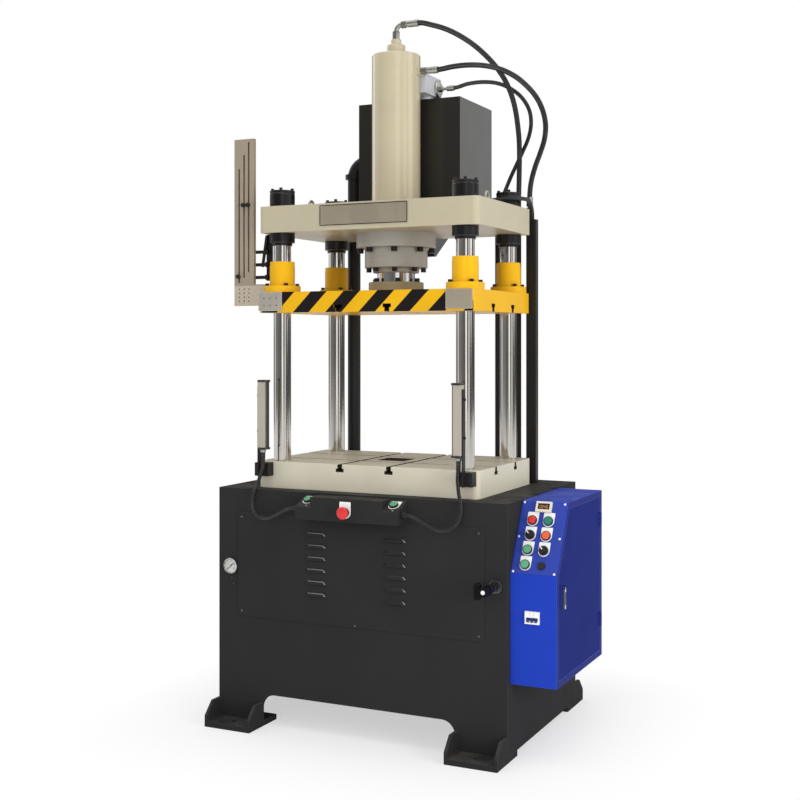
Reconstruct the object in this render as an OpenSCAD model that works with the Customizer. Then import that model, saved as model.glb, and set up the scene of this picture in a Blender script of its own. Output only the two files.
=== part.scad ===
// Four-column hydraulic press with a two-hand console, light curtain and side electrical box.
// Millimetres, +Z up, X to the operator's right, -Y to the operator.
// The origin lies on the floor, in the middle of the four anchor bolt holes.

/* [Base cabinet] */
// Width of the cabinet
cabinet_w = 1050; // [960:10:1200]
// Depth of the cabinet
cabinet_d = 680; // [640:10:800]
// Height of the cabinet's top face above the floor
cabinet_h = 795; // [760:5:900]
// Thickness of the cabinet's walls
cabinet_wall = 6; // [4:1:10]
// Thickness of the cabinet's top plate
cabinet_top_t = 20; // [12:1:30]
// Width of the arch between the legs
arch_w = 700; // [600:10:760]
// Height of the arch above the floor
arch_h = 108; // [90:1:140]
// Radius of the arch's corners
arch_r = 45; // [20:1:60]

/* [Feet] */
// Side of each square foot plate
foot_size = 175; // [150:5:200]
// Thickness of the foot plates
foot_t = 18; // [12:1:25]
// How far a foot plate stands out in front of the cabinet
foot_out = 88; // [70:1:110]
// Thickness of the gussets
gusset_t = 10; // [6:1:14]
// Height of a gusset's top above the floor
gusset_h = 80; // [70:1:100]
// Level stretch along a gusset's top
gusset_flat = 48; // [30:1:60]
// Height of a gusset's nose above the floor
gusset_nose = 38; // [30:1:50]
// Diameter of the anchor bolt holes
anchor_d = 18; // [12:1:24]

/* [Press frame] */
// How far the press axis lies in front of the cabinet's middle
press_forward = 36; // [10:1:60]
// How far the bed and the crown reach past each end of the platen
plate_over = 10; // [5:1:25]
// How far the platen reaches past the front and the rear of the bed
plate_under = 12.5; // [5:0.5:15]
// Radius of their upright corners
plate_r = 20; // [10:1:30]
// Thickness of the bed
bed_t = 90; // [70:1:110]
// Thickness of the crown
crown_t = 90; // [70:1:120]
// Clear height between the bed and the crown
frame_gap = 778; // [740:1:900]
// Diameter of the columns
column_d = 60; // [50:1:70]
// Distance from a column's middle to the platen's end
column_end = 55; // [50:1:65]
// Distance from a column's middle to the platen's front or rear
column_edge = 62.5; // [60:0.5:70]

/* [T-slots] */
// Distance between the two slots of each pair
slot_pitch = 180; // [150:5:200]
// Width of the slot's neck
slot_w = 18; // [14:1:22]
// Depth of the slot's neck
slot_neck = 14; // [10:1:18]
// Width of the slot's head
slot_head_w = 30; // [26:1:36]
// Height of the slot's head
slot_head_h = 12; // [9:1:14]
// Side of the square opening in the bed
bed_opening = 110; // [60:5:120]

/* [Column nuts] */
// Diameter of the nuts
nut_d = 86; // [78:1:92]
// Height of the nuts on the crown
top_nut_h = 56; // [45:1:65]
// Height of the cap that closes a top nut
nut_cap_h = 12; // [8:1:15]
// Height of the nuts below the crown
lower_nut_h = 33; // [25:1:40]
// Diameter of the collar under a lower nut
lower_collar_d = 68; // [66:1:74]
// Height of the collar under a lower nut
lower_collar_h = 10; // [6:1:14]
// Height of the nuts below the cabinet's top plate
base_nut_h = 40; // [30:1:50]

/* [Moving platen] */
// Width of the platen
platen_w = 790; // [770:5:800]
// Depth of the platen
platen_d = 515; // [500:5:530]
// Thickness of the platen
platen_t = 70; // [60:1:80]
// Clear height between the bed and the raised platen
daylight = 505; // [480:1:515]
// Height of a guide bush above the platen
bush_h = 105; // [80:1:110]
// Diameter of a guide bush
bush_d = 86; // [80:1:92]
// Diameter of a guide bush's flange
bush_flange_d = 125; // [120:1:130]
// Thickness of a guide bush's flange
bush_flange_t = 22; // [14:1:26]

/* [Main cylinder] */
// Outside diameter of the barrel
barrel_d = 168; // [160:1:180]
// Bore of the barrel
bore_d = 140; // [136:1:144]
// Height of the barrel above the crown
barrel_h = 527; // [500:1:560]
// Thickness of the barrel's closed end
barrel_end_t = 25; // [18:1:35]
// Diameter of the boss on the barrel's end
boss_d = 63; // [55:1:80]
// Height of the boss on the barrel's end
boss_h = 36; // [25:1:45]
// Diameter of the oil port on the boss
port_d = 35; // [32:1:45]
// Height of the oil port on the boss
port_h = 19; // [12:1:25]
// Diameter of the flange below the crown
flange_d = 275; // [268:1:290]
// Thickness of the flange below the crown
flange_t = 50; // [40:1:55]
// Diameter of the cylinder head below the flange
head_d = 217; // [212:1:220]
// Height of the cylinder head, gland flange included
head_h = 68; // [60:1:72]
// Thickness of the gland's flange
gland_t = 25; // [18:1:30]
// Diameter of the gland's nose
nose_d = 160; // [152:1:166]
// Height of the gland's nose
nose_h = 17; // [10:1:18]
// Diameter of the piston rod
rod_d = 130; // [124:1:132]
// Height of the piston
piston_h = 80; // [60:1:100]
// Diameter of the rod's flange on the platen
rod_flange_d = 190; // [184:1:200]
// Thickness of the rod's flange
rod_flange_t = 36; // [25:1:38]

/* [Oil tank and pipes] */
// Width of the tank
tank_w = 394; // [360:2:400]
// Depth of the tank
tank_d = 300; // [280:5:340]
// Height of the tank
tank_h = 389; // [360:1:420]
// Distance from the press axis to the tank's front
tank_behind = 100; // [90:1:110]
// Thickness of the tank's sheet
tank_wall = 3; // [2:0.5:5]
// Diameter of the return pipe
pipe_d = 48; // [42:1:54]
// Diameter of the riser pipes
riser_d = 18; // [14:1:20]
// Width of the cable trunk
trunk_w = 36; // [30:1:40]
// Depth of the cable trunk
trunk_d = 25; // [20:1:28]

/* [Hoses and cables] */
// Diameter of the two pressure hoses
hose_d = 18; // [14:1:20]
// Diameter of the pilot hose
pilot_d = 14; // [10:1:15]
// Diameter of the light bars' cables
cable_d = 12; // [8:1:13]
// Diameter of the cable from the tank to the trunk
trunk_cable_d = 14; // [10:1:15]

/* [Light curtain] */
// Width of a light bar's housing
light_w = 28; // [22:1:32]
// Depth of a light bar's housing
light_d = 26; // [20:1:30]
// Length of a light bar's housing
light_l = 220; // [180:5:300]
// Height of a light bar's lower end above the bed
light_up = 51; // [45:1:70]
// Distance from the bed's end in to the middle of a light bar
light_in = 48; // [40:1:60]

/* [Two-hand console] */
// Width of the console
console_w = 366; // [340:2:400]
// How far the console stands out from the cabinet
console_d = 71; // [65:1:85]
// Height of the console's hood
console_h = 74; // [68:1:76]
// Height of the console's front below the buttons
console_front_h = 41; // [38:1:46]
// Height of the console's back below the buttons
console_back_h = 71; // [68:1:74]
// Width of the hood between the two buttons
hood_w = 256; // [230:2:280]
// Distance from the cabinet's top down to the console's hood
console_drop = 5; // [3:1:15]

/* [Electrical box] */
// Width of the box
box_w = 150; // [140:5:180]
// Depth of the box
box_d = 475; // [440:5:500]
// Height of the box
box_h = 552; // [520:2:600]
// Height of the slanted panel's rise
panel_rise = 212; // [205:1:225]
// Depth that the slanted panel runs back
panel_run = 113; // [100:1:125]
// Distance from the cabinet's front back to the box's front
box_back = 22; // [10:1:40]
// Distance from the cabinet's top down to the box's top
box_drop = 3; // [0:1:20]
// Thickness of the box's sheet
box_wall = 2; // [1.5:0.5:3]
// Rim of the box around the door
door_rim = 20; // [18:1:26]
// Diameter of a push button's cap
button_d = 25; // [22:0.5:26]
// Outside diameter of a button's bezel
bezel_d = 30; // [28:1:33]
// Diameter of the emergency stop's head
stop_d = 40; // [34:1:44]

/* [Stroke board] */
// Width of the board
board_w = 79; // [75:1:90]
// Length of the board above the platen's underside
board_l = 580; // [540:5:600]
// Thickness of the board
board_t = 4; // [3:0.5:6]
// Width of the board's slots
board_slot = 6.4; // [6:0.1:7.5]

/* [Clearances] */
// Radial clearance of sliding and turning fits
run_fit = 0.1; // [0.05:0.01:0.12]
// Radial clearance of fixed fits
seat_fit = 0.15; // [0.1:0.05:0.3]
// Gap beside parts that move past each other
move_gap = 0.4; // [0.3:0.1:0.8]
// Gap around the electrical box's door
door_gap = 0.8; // [0.5:0.1:0.9]

/* [Hidden] */

$fn = 64;
eps = 1;

// Heights of the main faces
bed_z = cabinet_h + bed_t;
platen_z = bed_z + daylight;
platen_top = platen_z + platen_t;
crown_z = bed_z + frame_gap;
crown_top = crown_z + crown_t;
barrel_end = crown_top + barrel_h;
boss_top = barrel_end + boss_h;
port_top = boss_top + port_h;
head_z = crown_z - flange_t;
gland_z = head_z - head_h;
nose_z = gland_z - nose_h;

// Places in plan
axis_y = -press_forward;
front_y = -cabinet_d / 2;
rear_y = cabinet_d / 2;
side_x = cabinet_w / 2;
plate_w = platen_w + 2 * plate_over;
plate_d = platen_d - 2 * plate_under;
column_x = platen_w / 2 - column_end;
column_y = platen_d / 2 - column_edge;
bed_front = axis_y - plate_d / 2;
rear_clear = axis_y + max(plate_d, platen_d) / 2 + 4.5;

// Rings of bolts
flange_ring = (flange_d + head_d) / 4;
gland_ring_r = (head_d + nose_d) / 4;
rod_ring = (rod_flange_d + rod_d) / 4;
bush_ring = (bush_flange_d + bush_d) / 4;

// Cover on the cabinet's front
cover_w = cabinet_w - 156;
cover_z = arch_h + 258;
cover_t = 3;
cover_window = 24;
louvre_x = 145;
louvre_w = 74;
louvre_h = 16;
louvre_rows = 6;

// Rails inside the cabinet, the root gap of its welds, and the power unit on the rails
rail_w = 40;
rail_t = 20;
weld_gap = 0.3;
rail_top = arch_h + 232;
wall_h = cabinet_h - cabinet_top_t - foot_t - weld_gap;
unit_h = cabinet_h - cabinet_top_t - rail_top;
unit_d = 0.588 * cabinet_d;

// Gauge and relief valve on the cabinet's front
gauge_x = -side_x + 51;
gauge_z = cabinet_h - 264;
gauge_d = 50;
gauge_rim = 1.5;
gauge_out = 12;
valve_x = side_x - 37;
valve_z = cabinet_h - 254;
valve_l = 112;
valve_stem = 16;

// Lifting eyes
eye_x = column_x - 3;
eye_r = 15;
eye_wire = 10;

// Tank, pipes and trunk
tank_y = axis_y + tank_behind;
tank_top = crown_top + tank_h;
tank_rib_w = 68;
tank_rib_drop = 63;
pipe_x = -314;
pipe_y = rear_clear + pipe_d / 2;
pipe_bend = 56;
pipe_level = crown_top + 211;
pipe_joint = pipe_level - 62;
riser_y = rear_clear + 20;
riser_ends = [[266, riser_y, crown_top - 13], [346, riser_y, crown_top - 13],
    [380, riser_y + 20, crown_top + 50]];
ferrule_l = 37;
riser_nut_l = 14;
trunk_x = 381;
trunk_y = rear_clear;
trunk_top = crown_top - 32;
tank_gland = [tank_w / 2, axis_y + 125, crown_top + 19];
tank_gland_l = 8;

// Prefill valve beside the barrel
prefill_x0 = 25;
prefill_x1 = 101;
prefill_y0 = axis_y + 20;
prefill_y1 = axis_y + 155;
prefill_z = tank_top + 8;
prefill_h = 66;
prefill_cap_y = axis_y + 125;
prefill_cap_z = prefill_z + 28;
side_port_z = barrel_end - 62;
elbow_bend = 22;
elbow_z = port_top + 50;
elbow_end = 85;
side_end = barrel_d / 2 + 74;
pilot_end = prefill_x1 + 64;

// Ends of the hoses and the trunk cable, from the middle of the crown's top
crown_mid = [0, axis_y, crown_top];
hose_starts = [[elbow_end, 0, elbow_z - crown_top], [side_end, 0, side_port_z - crown_top],
    [pilot_end, prefill_cap_y - axis_y, prefill_cap_z - crown_top]];
hose_ends = [for (p = [riser_ends[1], riser_ends[2], riser_ends[0]]) p - crown_mid];
trunk_hole = [trunk_x + 19, trunk_y + 12, trunk_top];

// Routes of the hoses and the trunk cable, from the middle of the crown's top, chosen by hand
hose_top_route = [[85, 0, 632], [135, 3, 620], [185, 14, 602], [230, 32, 577], [270, 54, 547], [303, 82, 513],
    [330, 111, 476], [349, 141, 436], [360, 170, 393], [364, 198, 347], [363, 224, 299], [360, 247, 251],
    [355, 265, 201], [350, 277, 149], [347, 282, 95], [346, 282, 41], [346, 282, -13]];
hose_side_route = [[158, 0, 465], [212, 4, 471], [264, 17, 474], [314, 37, 471], [360, 64, 460],
    [400, 94, 439], [432, 125, 409], [456, 157, 373], [468, 189, 331], [468, 218, 286], [454, 245, 241],
    [430, 268, 197], [405, 286, 152], [387, 297, 102], [380, 302, 50]];
hose_prefill_route = [[165, 125, 425], [212, 136, 437], [261, 153, 442], [308, 172, 437], [348, 197, 419],
    [382, 217, 388], [403, 234, 345], [402, 254, 299], [384, 276, 255], [356, 296, 213], [332, 301, 171],
    [311, 298, 127], [293, 292, 81], [277, 286, 34], [266, 282, -13]];
trunk_cable_route = [[205, 125, 19], [228, 125, 20], [252, 125, 21], [276, 125, 23], [300, 125, 25],
    [324, 125, 27], [345, 128, 28.5], [364, 136, 30], [380, 148, 31], [393, 165, 31.7], [400.5, 184.5, 32],
    [403, 207, 32], [403, 229, 29], [402.5, 247.5, 20], [401.5, 262, 5.5], [400.5, 271, -12],
    [400, 274, -32]];
// Route of the left light bar's cable, from the middle of the cabinet's front top edge
light_cable_route = [[-357, 12, 113], [-357, 10, 90], [-357, 5, 67], [-361, -1, 45], [-366, -7, 24],
    [-373, -12, 2], [-378, -17, -20], [-378, -22, -43], [-371, -27, -64], [-356, -31, -81], [-335, -34, -90],
    [-313, -37, -91], [-290, -39, -84], [-269, -40, -74], [-248, -41, -63.5], [-227, -41, -53.5],
    [-205, -41, -49]];

// Light curtain
light_x = plate_w / 2 - light_in;
light_y = bed_front - 47;
light_z = bed_z + light_up;
light_cap_h = 7;
light_cap_over = 2;
light_plug_l = 21;
bracket_bar_t = 4;
bracket_bar_w = 20;
bracket_w = 53;
bracket_h = 45;
bracket_z = bed_z - 48;
bracket_d = 35;

// Two-hand console
console_z = cabinet_h - console_drop - console_h;
console_tilt = atan2(console_back_h - console_front_h, console_d);
palm_x = (console_w + hood_w) / 4;
console_t = 2;
gland_y = front_y - 41;
gland_z_mid = cabinet_h - 49;
gland_l = 22;
cover_h = console_z - 1 - cover_z;
louvre_z = cover_z + 0.2636 * cover_h;
louvre_pitch = 0.1132 * cover_h;
stop_z = console_z + 31;

// Electrical box
box_x = side_x;
box_right = box_x + box_w;
box_front = front_y + box_back;
box_top = cabinet_h - box_drop;
box_z = box_top - box_h;
fold_z = box_top - panel_rise;
panel_l = norm([panel_run, panel_rise]);
panel_tilt = atan2(panel_rise, panel_run);
panel_t = 2;
panel_margin = 3;
button_cols = [45, 97];
button_rows = [30, 78, 126, 174];
panel_hole = 16;
button_rise = 11;
bezel_h = 8;
display_w = 51;
display_h = 34;
display_mid = [76, 219];
breaker_w = 46;
breaker_h = 38;
breaker_x = 73;
breaker_z = box_z + 191.5;
breaker_pitch = 12.5;
breaker_pin = [-4, 1];
breaker_roll = 9;
hinge_d = 6;
hinge_pin = 3.4;
hinge_l = 30;
hinge_x = box_right + hinge_d / 2;
hinge_y = box_front + box_d - door_rim;
hinge_rows = [box_z + 110, box_top - 110];
lock_y = box_front + 56;
lock_z = box_z + 230;
lock_l = 76;

// Stroke board at the platen's left end
board_x = -platen_w / 2 - 134;
board_y = axis_y - 200;
board_z = platen_z + 26;
board_top = board_z + board_l;
tab_h = 74;
tray_d = 10.5;
tray_wall = 1.5;
tab_l = -platen_w / 2 - board_x;
dog_x = [board_x + 19, board_x + 39, board_x + 58];
dog_z = [board_z + 102, board_z + 350, board_z + 350];
slot_low = [board_z + 82, board_z + 100, board_z + 120];
slot_high = [board_top - 106, board_top - 58, board_top - 14];
dog_d = 14;

// A rounded plate that lies flat, its middle at the origin and its underside at zero
module rounded_plate(w, d, h, r) {
    linear_extrude(h) {
        square([w - 2 * r, d], center = true);
        square([w, d - 2 * r], center = true);
        for (sx = [-1, 1], sy = [-1, 1]) translate([sx * (w / 2 - r), sy * (d / 2 - r)]) circle(r);
    }
}

// Copies for each column, seen from the floor
module at_columns() {
    for (sx = [-1, 1], sy = [-1, 1]) translate([sx * column_x, axis_y + sy * column_y, 0]) children();
}

// Copies around the press axis
module around_axis(count, radius, first) {
    for (i = [0 : count - 1]) translate([0, axis_y, 0]) rotate(first + i * 360 / count)
        translate([0, -radius, 0]) children();
}

// A ring or tube standing on zero
module tube(outer, inner, h) {
    difference() {
        cylinder(d = outer, h = h);
        translate([0, 0, -eps]) cylinder(d = inner, h = h + 2 * eps);
    }
}

// A socket-head screw's head standing on zero
module socket_head(d, h) {
    difference() {
        cylinder(d = d, h = h, $fn = 24);
        translate([0, 0, h / 2]) cylinder(d = d * 0.55, h = h, $fn = 6);
    }
}

// One T-slot along Y, cut down from zero over the length given
module t_slot(l) {
    rotate([90, 0, 0]) translate([0, 0, -l / 2]) linear_extrude(l) {
        translate([-slot_w / 2, -slot_neck - eps]) square([slot_w, slot_neck + 2 * eps]);
        translate([-slot_head_w / 2, -slot_neck - slot_head_h]) square([slot_head_w, slot_head_h]);
    }
}

// Two crossing pairs of T-slots, cut down from zero
module slot_grid(w, d) {
    for (s = [-1, 1]) {
        translate([s * slot_pitch / 2, 0, 0]) t_slot(d + 2 * eps);
        rotate(90) translate([s * slot_pitch / 2, 0, 0]) t_slot(w + 2 * eps);
    }
}

// Unit vector
function unit(v) = v / norm(v);

// Direction of a route at one of its points, with both ends given
function heading(route, i, first, last) =
    i == 0 ? first : i == len(route) - 1 ? last : unit(route[i + 1] - route[i - 1]);

// One ring of points square to a direction
function ring(centre, dir, r, sides) =
    let (side = unit(cross(dir, [0, 1, 0])), up = cross(side, dir))
    [for (k = [0 : sides - 1]) centre + r * (cos(k * 360 / sides) * side + sin(k * 360 / sides) * up)];

// A route moved little by little, so that it starts and ends at given points
function aimed(route, start, end) =
    let (n = len(route) - 1, a = start - route[0], b = end - route[n])
    [for (i = [0 : n]) route[i] + a * (1 - i / n) + b * i / n];

// A round tube swept along a route
module cord(route, d, sides, first, last) {
    n = len(route);
    points = [for (i = [0 : n - 1]) each ring(route[i], heading(route, i, first, last), d / 2, sides)];
    walls = [for (i = [0 : n - 2], k = [0 : sides - 1])
        let (a = i * sides + k, b = i * sides + (k + 1) % sides)
        each [[a, a + sides, b + sides], [a, b + sides, b]]];
    ends = [[for (k = [0 : sides - 1]) k], [for (k = [sides - 1 : -1 : 0]) (n - 1) * sides + k]];
    polyhedron(points, concat(walls, ends));
}

// From the middle of the crown's top
module from_crown() {
    translate([0, axis_y, crown_top]) children();
}

// From the middle of the cabinet's front top edge
module from_cabinet() {
    translate([0, front_y, cabinet_h]) children();
}

// Places on the slanted panel: X from the box's left, distance up the slope, then out of the panel
module on_panel(col, row) {
    translate([box_x + col, box_front, fold_z]) rotate([panel_tilt, 0, 0]) translate([0, row, 0]) children();
}

// Places on the console's sloping ends
module on_console(side) {
    translate([side * palm_x, front_y - console_d, console_z + console_front_h]) rotate([console_tilt, 0, 0])
        translate([0, console_d / cos(console_tilt) / 2, 0]) children();
}

// Places on the console's front
module on_console_front() {
    translate([0, front_y - console_d, stop_z]) rotate([90, 0, 0]) children();
}

// The outline of the electrical box seen from its right, drawn in by a margin
module box_outline(inset) {
    slope_in = inset * tan((90 - panel_tilt) / 2);
    y0 = box_front + inset;
    polygon([[y0, box_z + inset], [box_front + box_d - inset, box_z + inset],
        [box_front + box_d - inset, box_top - inset],
        [box_front + panel_run + inset * tan(panel_tilt / 2), box_top - inset],
        [y0, fold_z - slope_in]]);
}

// The outline made into a slab between two X places
module box_slab(inset, x0, x1) {
    translate([x0, 0, 0]) rotate([90, 0, 90]) linear_extrude(x1 - x0) box_outline(inset);
}

// Leg wall of the cabinet with its arch, standing up in XZ
module arch_wall() {
    rotate([90, 0, 0]) translate([0, 0, -cabinet_wall / 2]) linear_extrude(cabinet_wall) difference() {
        translate([-side_x, foot_t]) square([cabinet_w, wall_h]);
        translate([-arch_w / 2, 0]) square([arch_w, arch_h - arch_r]);
        translate([-arch_w / 2 + arch_r, 0]) square([arch_w - 2 * arch_r, arch_h]);
        for (s = [-1, 1]) translate([s * (arch_w / 2 - arch_r), arch_h - arch_r]) circle(arch_r);
    }
}

// Welded base: top plate, four walls, and the rails that carry the power unit
module base_cabinet() {
    side_d = cabinet_d - 2 * (cabinet_wall + weld_gap);
    color("#3a3a3c") difference() {
        union() {
            translate([-side_x, front_y, cabinet_h - cabinet_top_t])
                cube([cabinet_w, cabinet_d, cabinet_top_t]);
            for (s = [-1, 1]) {
                translate([0, s * (rear_y - cabinet_wall / 2), 0]) arch_wall();
                translate([s * (side_x - cabinet_wall / 2), 0, foot_t + wall_h / 2])
                    cube([cabinet_wall, side_d, wall_h], center = true);
                translate([s * (side_x - cabinet_wall - weld_gap - rail_w / 2), 0, rail_top - rail_t / 2])
                    cube([rail_w, side_d, rail_t], center = true);
            }
        }
        at_columns() translate([0, 0, cabinet_h / 2]) cylinder(d = column_d + 2 * seat_fit, h = cabinet_h);
        translate([-cover_w / 2 + cover_window, front_y - eps, cover_z + cover_window])
            cube([cover_w - 2 * cover_window, cabinet_wall + 2 * eps, cover_h - 2 * cover_window]);
        translate([-bed_opening / 2, axis_y - bed_opening / 2, cabinet_h - cabinet_top_t - eps])
            cube([bed_opening, bed_opening, cabinet_top_t + 2 * eps]);
        translate([gauge_x, front_y - eps, gauge_z]) rotate([-90, 0, 0])
            cylinder(d = gauge_d - 4 + 2 * seat_fit, h = cabinet_wall + 2 * eps);
    }
}

// One foot: a square plate and two gussets with cut corners, at the front right
module foot() {
    translate([side_x - foot_size, front_y - foot_out, 0]) difference() {
        cube([foot_size, foot_size, foot_t]);
        translate([foot_size / 2, foot_out / 2, -eps]) cylinder(d = anchor_d, h = foot_t + 2 * eps);
    }
    for (x = [side_x - foot_size, side_x - gusset_t]) translate([x, front_y, 0]) rotate([90, 0, 90])
        linear_extrude(gusset_t) polygon([[0, foot_t], [0, gusset_h], [-gusset_flat, gusset_h],
            [-foot_out, gusset_nose], [-foot_out, foot_t]]);
}

module floor_feet() {
    color("#343436") for (mx = [0, 1], my = [0, 1]) mirror([mx, 0, 0]) mirror([0, my, 0]) foot();
}

// Pressed louvre: a hood with round ends, open below
module louvre_hood() {
    reach = (louvre_w - louvre_h) / 2;
    wall = 1.5;
    difference() {
        intersection() {
            union() {
                rotate([0, 90, 0]) cylinder(d = louvre_h, h = 2 * reach, center = true, $fn = 24);
                for (x = [-reach, reach]) translate([x, 0, 0]) sphere(d = louvre_h, $fn = 24);
            }
            translate([-louvre_w / 2, -louvre_h, -louvre_h / 5]) cube([louvre_w, louvre_h + 1, louvre_h]);
        }
        rotate([0, 90, 0]) cylinder(d = louvre_h - 2 * wall, h = 2 * reach, center = true, $fn = 24);
    }
}

// Places of the twelve louvres on the cover's face
module at_louvres() {
    for (s = [-1, 1], i = [0 : louvre_rows - 1])
        translate([s * louvre_x, front_y - cover_t, louvre_z + i * louvre_pitch]) children();
}

// Screwed access cover with two columns of louvres
module front_cover() {
    color("#38383a") {
        difference() {
            translate([-cover_w / 2, front_y - cover_t, cover_z]) cube([cover_w, cover_t, cover_h]);
            at_louvres() translate([-(louvre_w - louvre_h) / 2, -eps, -louvre_h / 3])
                cube([louvre_w - louvre_h, cover_t + 2 * eps, louvre_h * 0.6]);
        }
        at_louvres() louvre_hood();
    }
}

// Bed with crossing T-slots and a square opening
module bed_plate() {
    color("#cfc7ad") difference() {
        translate([0, axis_y, cabinet_h]) rounded_plate(plate_w, plate_d, bed_t, plate_r);
        translate([0, axis_y, bed_z]) slot_grid(plate_w, plate_d);
        at_columns() translate([0, 0, cabinet_h - eps])
            cylinder(d = column_d + 2 * seat_fit, h = bed_t + 2 * eps);
        translate([-bed_opening / 2, axis_y - bed_opening / 2, cabinet_h - eps])
            cube([bed_opening, bed_opening, bed_t + 2 * eps]);
    }
}

// Four hard-chromed columns
module columns() {
    foot_z = cabinet_h - cabinet_top_t - base_nut_h - 8;
    color("#d8d8dc") at_columns() translate([0, 0, foot_z])
        cylinder(d = column_d, h = crown_top + top_nut_h - nut_cap_h - foot_z);
}

// Crown with holes for the columns and the barrel
module crown() {
    color("#cfc7ad") difference() {
        translate([0, axis_y, crown_z]) rounded_plate(plate_w, plate_d, crown_t, plate_r);
        at_columns() translate([0, 0, crown_z - eps])
            cylinder(d = column_d + 2 * seat_fit, h = crown_t + 2 * eps);
        translate([0, axis_y, crown_z - eps]) cylinder(d = barrel_d + 2 * seat_fit, h = crown_t + 2 * eps);
    }
}

// Capped nut on the crown, with a groove under its cap and four small screws on top
module top_nut() {
    hole = column_d + 2 * seat_fit;
    body = top_nut_h - nut_cap_h;
    rotate_extrude() polygon([[hole / 2, 0], [nut_d / 2 - 1, 0], [nut_d / 2, 1], [nut_d / 2, body - 1],
        [nut_d / 2 - 2, body], [nut_d / 2 - 2, body + 2], [nut_d / 2, body + 3], [nut_d / 2, top_nut_h - 1.5],
        [nut_d / 2 - 1.5, top_nut_h], [0, top_nut_h], [0, body], [hole / 2, body]]);
    for (a = [22.5 : 90 : 360]) rotate(a) translate([0, -nut_d / 2 + 9, top_nut_h]) socket_head(11, 8);
}

// Nut that hangs below zero, with a narrower collar under it
module lower_nut() {
    hole = column_d / 2 + seat_fit;
    rotate_extrude() polygon([[hole, 0], [nut_d / 2, 0], [nut_d / 2, 1 - lower_nut_h],
        [nut_d / 2 - 1, -lower_nut_h], [lower_collar_d / 2, -lower_nut_h],
        [lower_collar_d / 2, -lower_nut_h - lower_collar_h], [hole, -lower_nut_h - lower_collar_h]]);
}

// Black nuts on the crown, under the crown and under the cabinet's top plate
module column_nuts() {
    hole = column_d + 2 * seat_fit;
    color("#1d1d1f") at_columns() {
        translate([0, 0, crown_top]) top_nut();
        translate([0, 0, crown_z]) lower_nut();
        translate([0, 0, cabinet_h - cabinet_top_t - base_nut_h]) tube(nut_d, hole, base_nut_h);
    }
}

// Two eye bolts on the crown
module lifting_eyes() {
    collar = 6;
    color("#d6d4cb") for (s = [-1, 1]) translate([s * eye_x, axis_y, crown_top]) {
        cylinder(d = 26, h = collar);
        translate([0, 0, collar + eye_r + eye_wire / 2 - 1]) rotate([0, 90, 0])
            rotate_extrude() translate([eye_r, 0]) circle(d = eye_wire, $fn = 32);
    }
}

// Barrel closed at the top, with the boss, the oil port and a side port on the right
module cylinder_barrel() {
    inner_top = barrel_end - barrel_end_t;
    drill = 16;
    color("#d2c9b4") translate([0, axis_y, 0]) difference() {
        union() {
            rotate_extrude() polygon([[bore_d / 2, head_z], [barrel_d / 2, head_z],
                [barrel_d / 2, barrel_end - 4], [barrel_d / 2 - 4, barrel_end], [boss_d / 2, barrel_end],
                [boss_d / 2, boss_top - 3], [boss_d / 2 - 3, boss_top], [port_d / 2, boss_top],
                [port_d / 2, port_top], [drill / 2, port_top], [drill / 2, inner_top],
                [bore_d / 2, inner_top]]);
            translate([barrel_d / 2 - 8, 0, side_port_z]) rotate([0, 90, 0]) cylinder(d = 30, h = 18);
        }
        translate([bore_d / 2 - 4, 0, side_port_z]) rotate([0, 90, 0]) cylinder(d = drill, h = barrel_d);
    }
}

// Flange below the crown, turned in one piece with the cylinder head
module cylinder_flange() {
    split = gland_z + gland_t;
    color("#a89f90") translate([0, axis_y, 0]) rotate_extrude() polygon([[bore_d / 2, split],
        [head_d / 2, split], [head_d / 2, head_z], [flange_d / 2 - 2, head_z], [flange_d / 2, head_z + 2],
        [flange_d / 2, crown_z], [barrel_d / 2 + seat_fit, crown_z], [barrel_d / 2 + seat_fit, head_z],
        [bore_d / 2, head_z]]);
}

// Gland that guides the rod, with its flange and its spigot inside the head
module gland_ring() {
    split = gland_z + gland_t;
    spigot = split + head_h - gland_t - 5;
    inner = rod_d / 2 + run_fit;
    color("#b4ab9b") translate([0, axis_y, 0]) rotate_extrude() polygon([[inner, nose_z],
        [nose_d / 2 - 3, nose_z], [nose_d / 2, nose_z + 3], [nose_d / 2, gland_z], [head_d / 2 - 2, gland_z],
        [head_d / 2, gland_z + 2], [head_d / 2, split], [bore_d / 2 - seat_fit, split],
        [bore_d / 2 - seat_fit, spigot], [inner, spigot]]);
}

// Screws under the flange and under the gland
module cylinder_bolts() {
    color("#222224") {
        around_axis(8, flange_ring, 22.5) translate([0, 0, head_z]) mirror([0, 0, 1]) socket_head(21, 16);
        around_axis(8, gland_ring_r, 22.5) translate([0, 0, gland_z]) mirror([0, 0, 1]) socket_head(18, 14);
    }
}

// A plated hose end along +Z: nut, neck and crimped ferrule, with the hose leaving at the top
module hose_end(hose, nut_l, neck_l, l) {
    cylinder(d = hose + 8, h = nut_l, $fn = 6);
    translate([0, 0, nut_l]) cylinder(d = hose - 4, h = neck_l);
    translate([0, 0, nut_l + neck_l]) cylinder(d = hose + 5, h = l);
}

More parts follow.
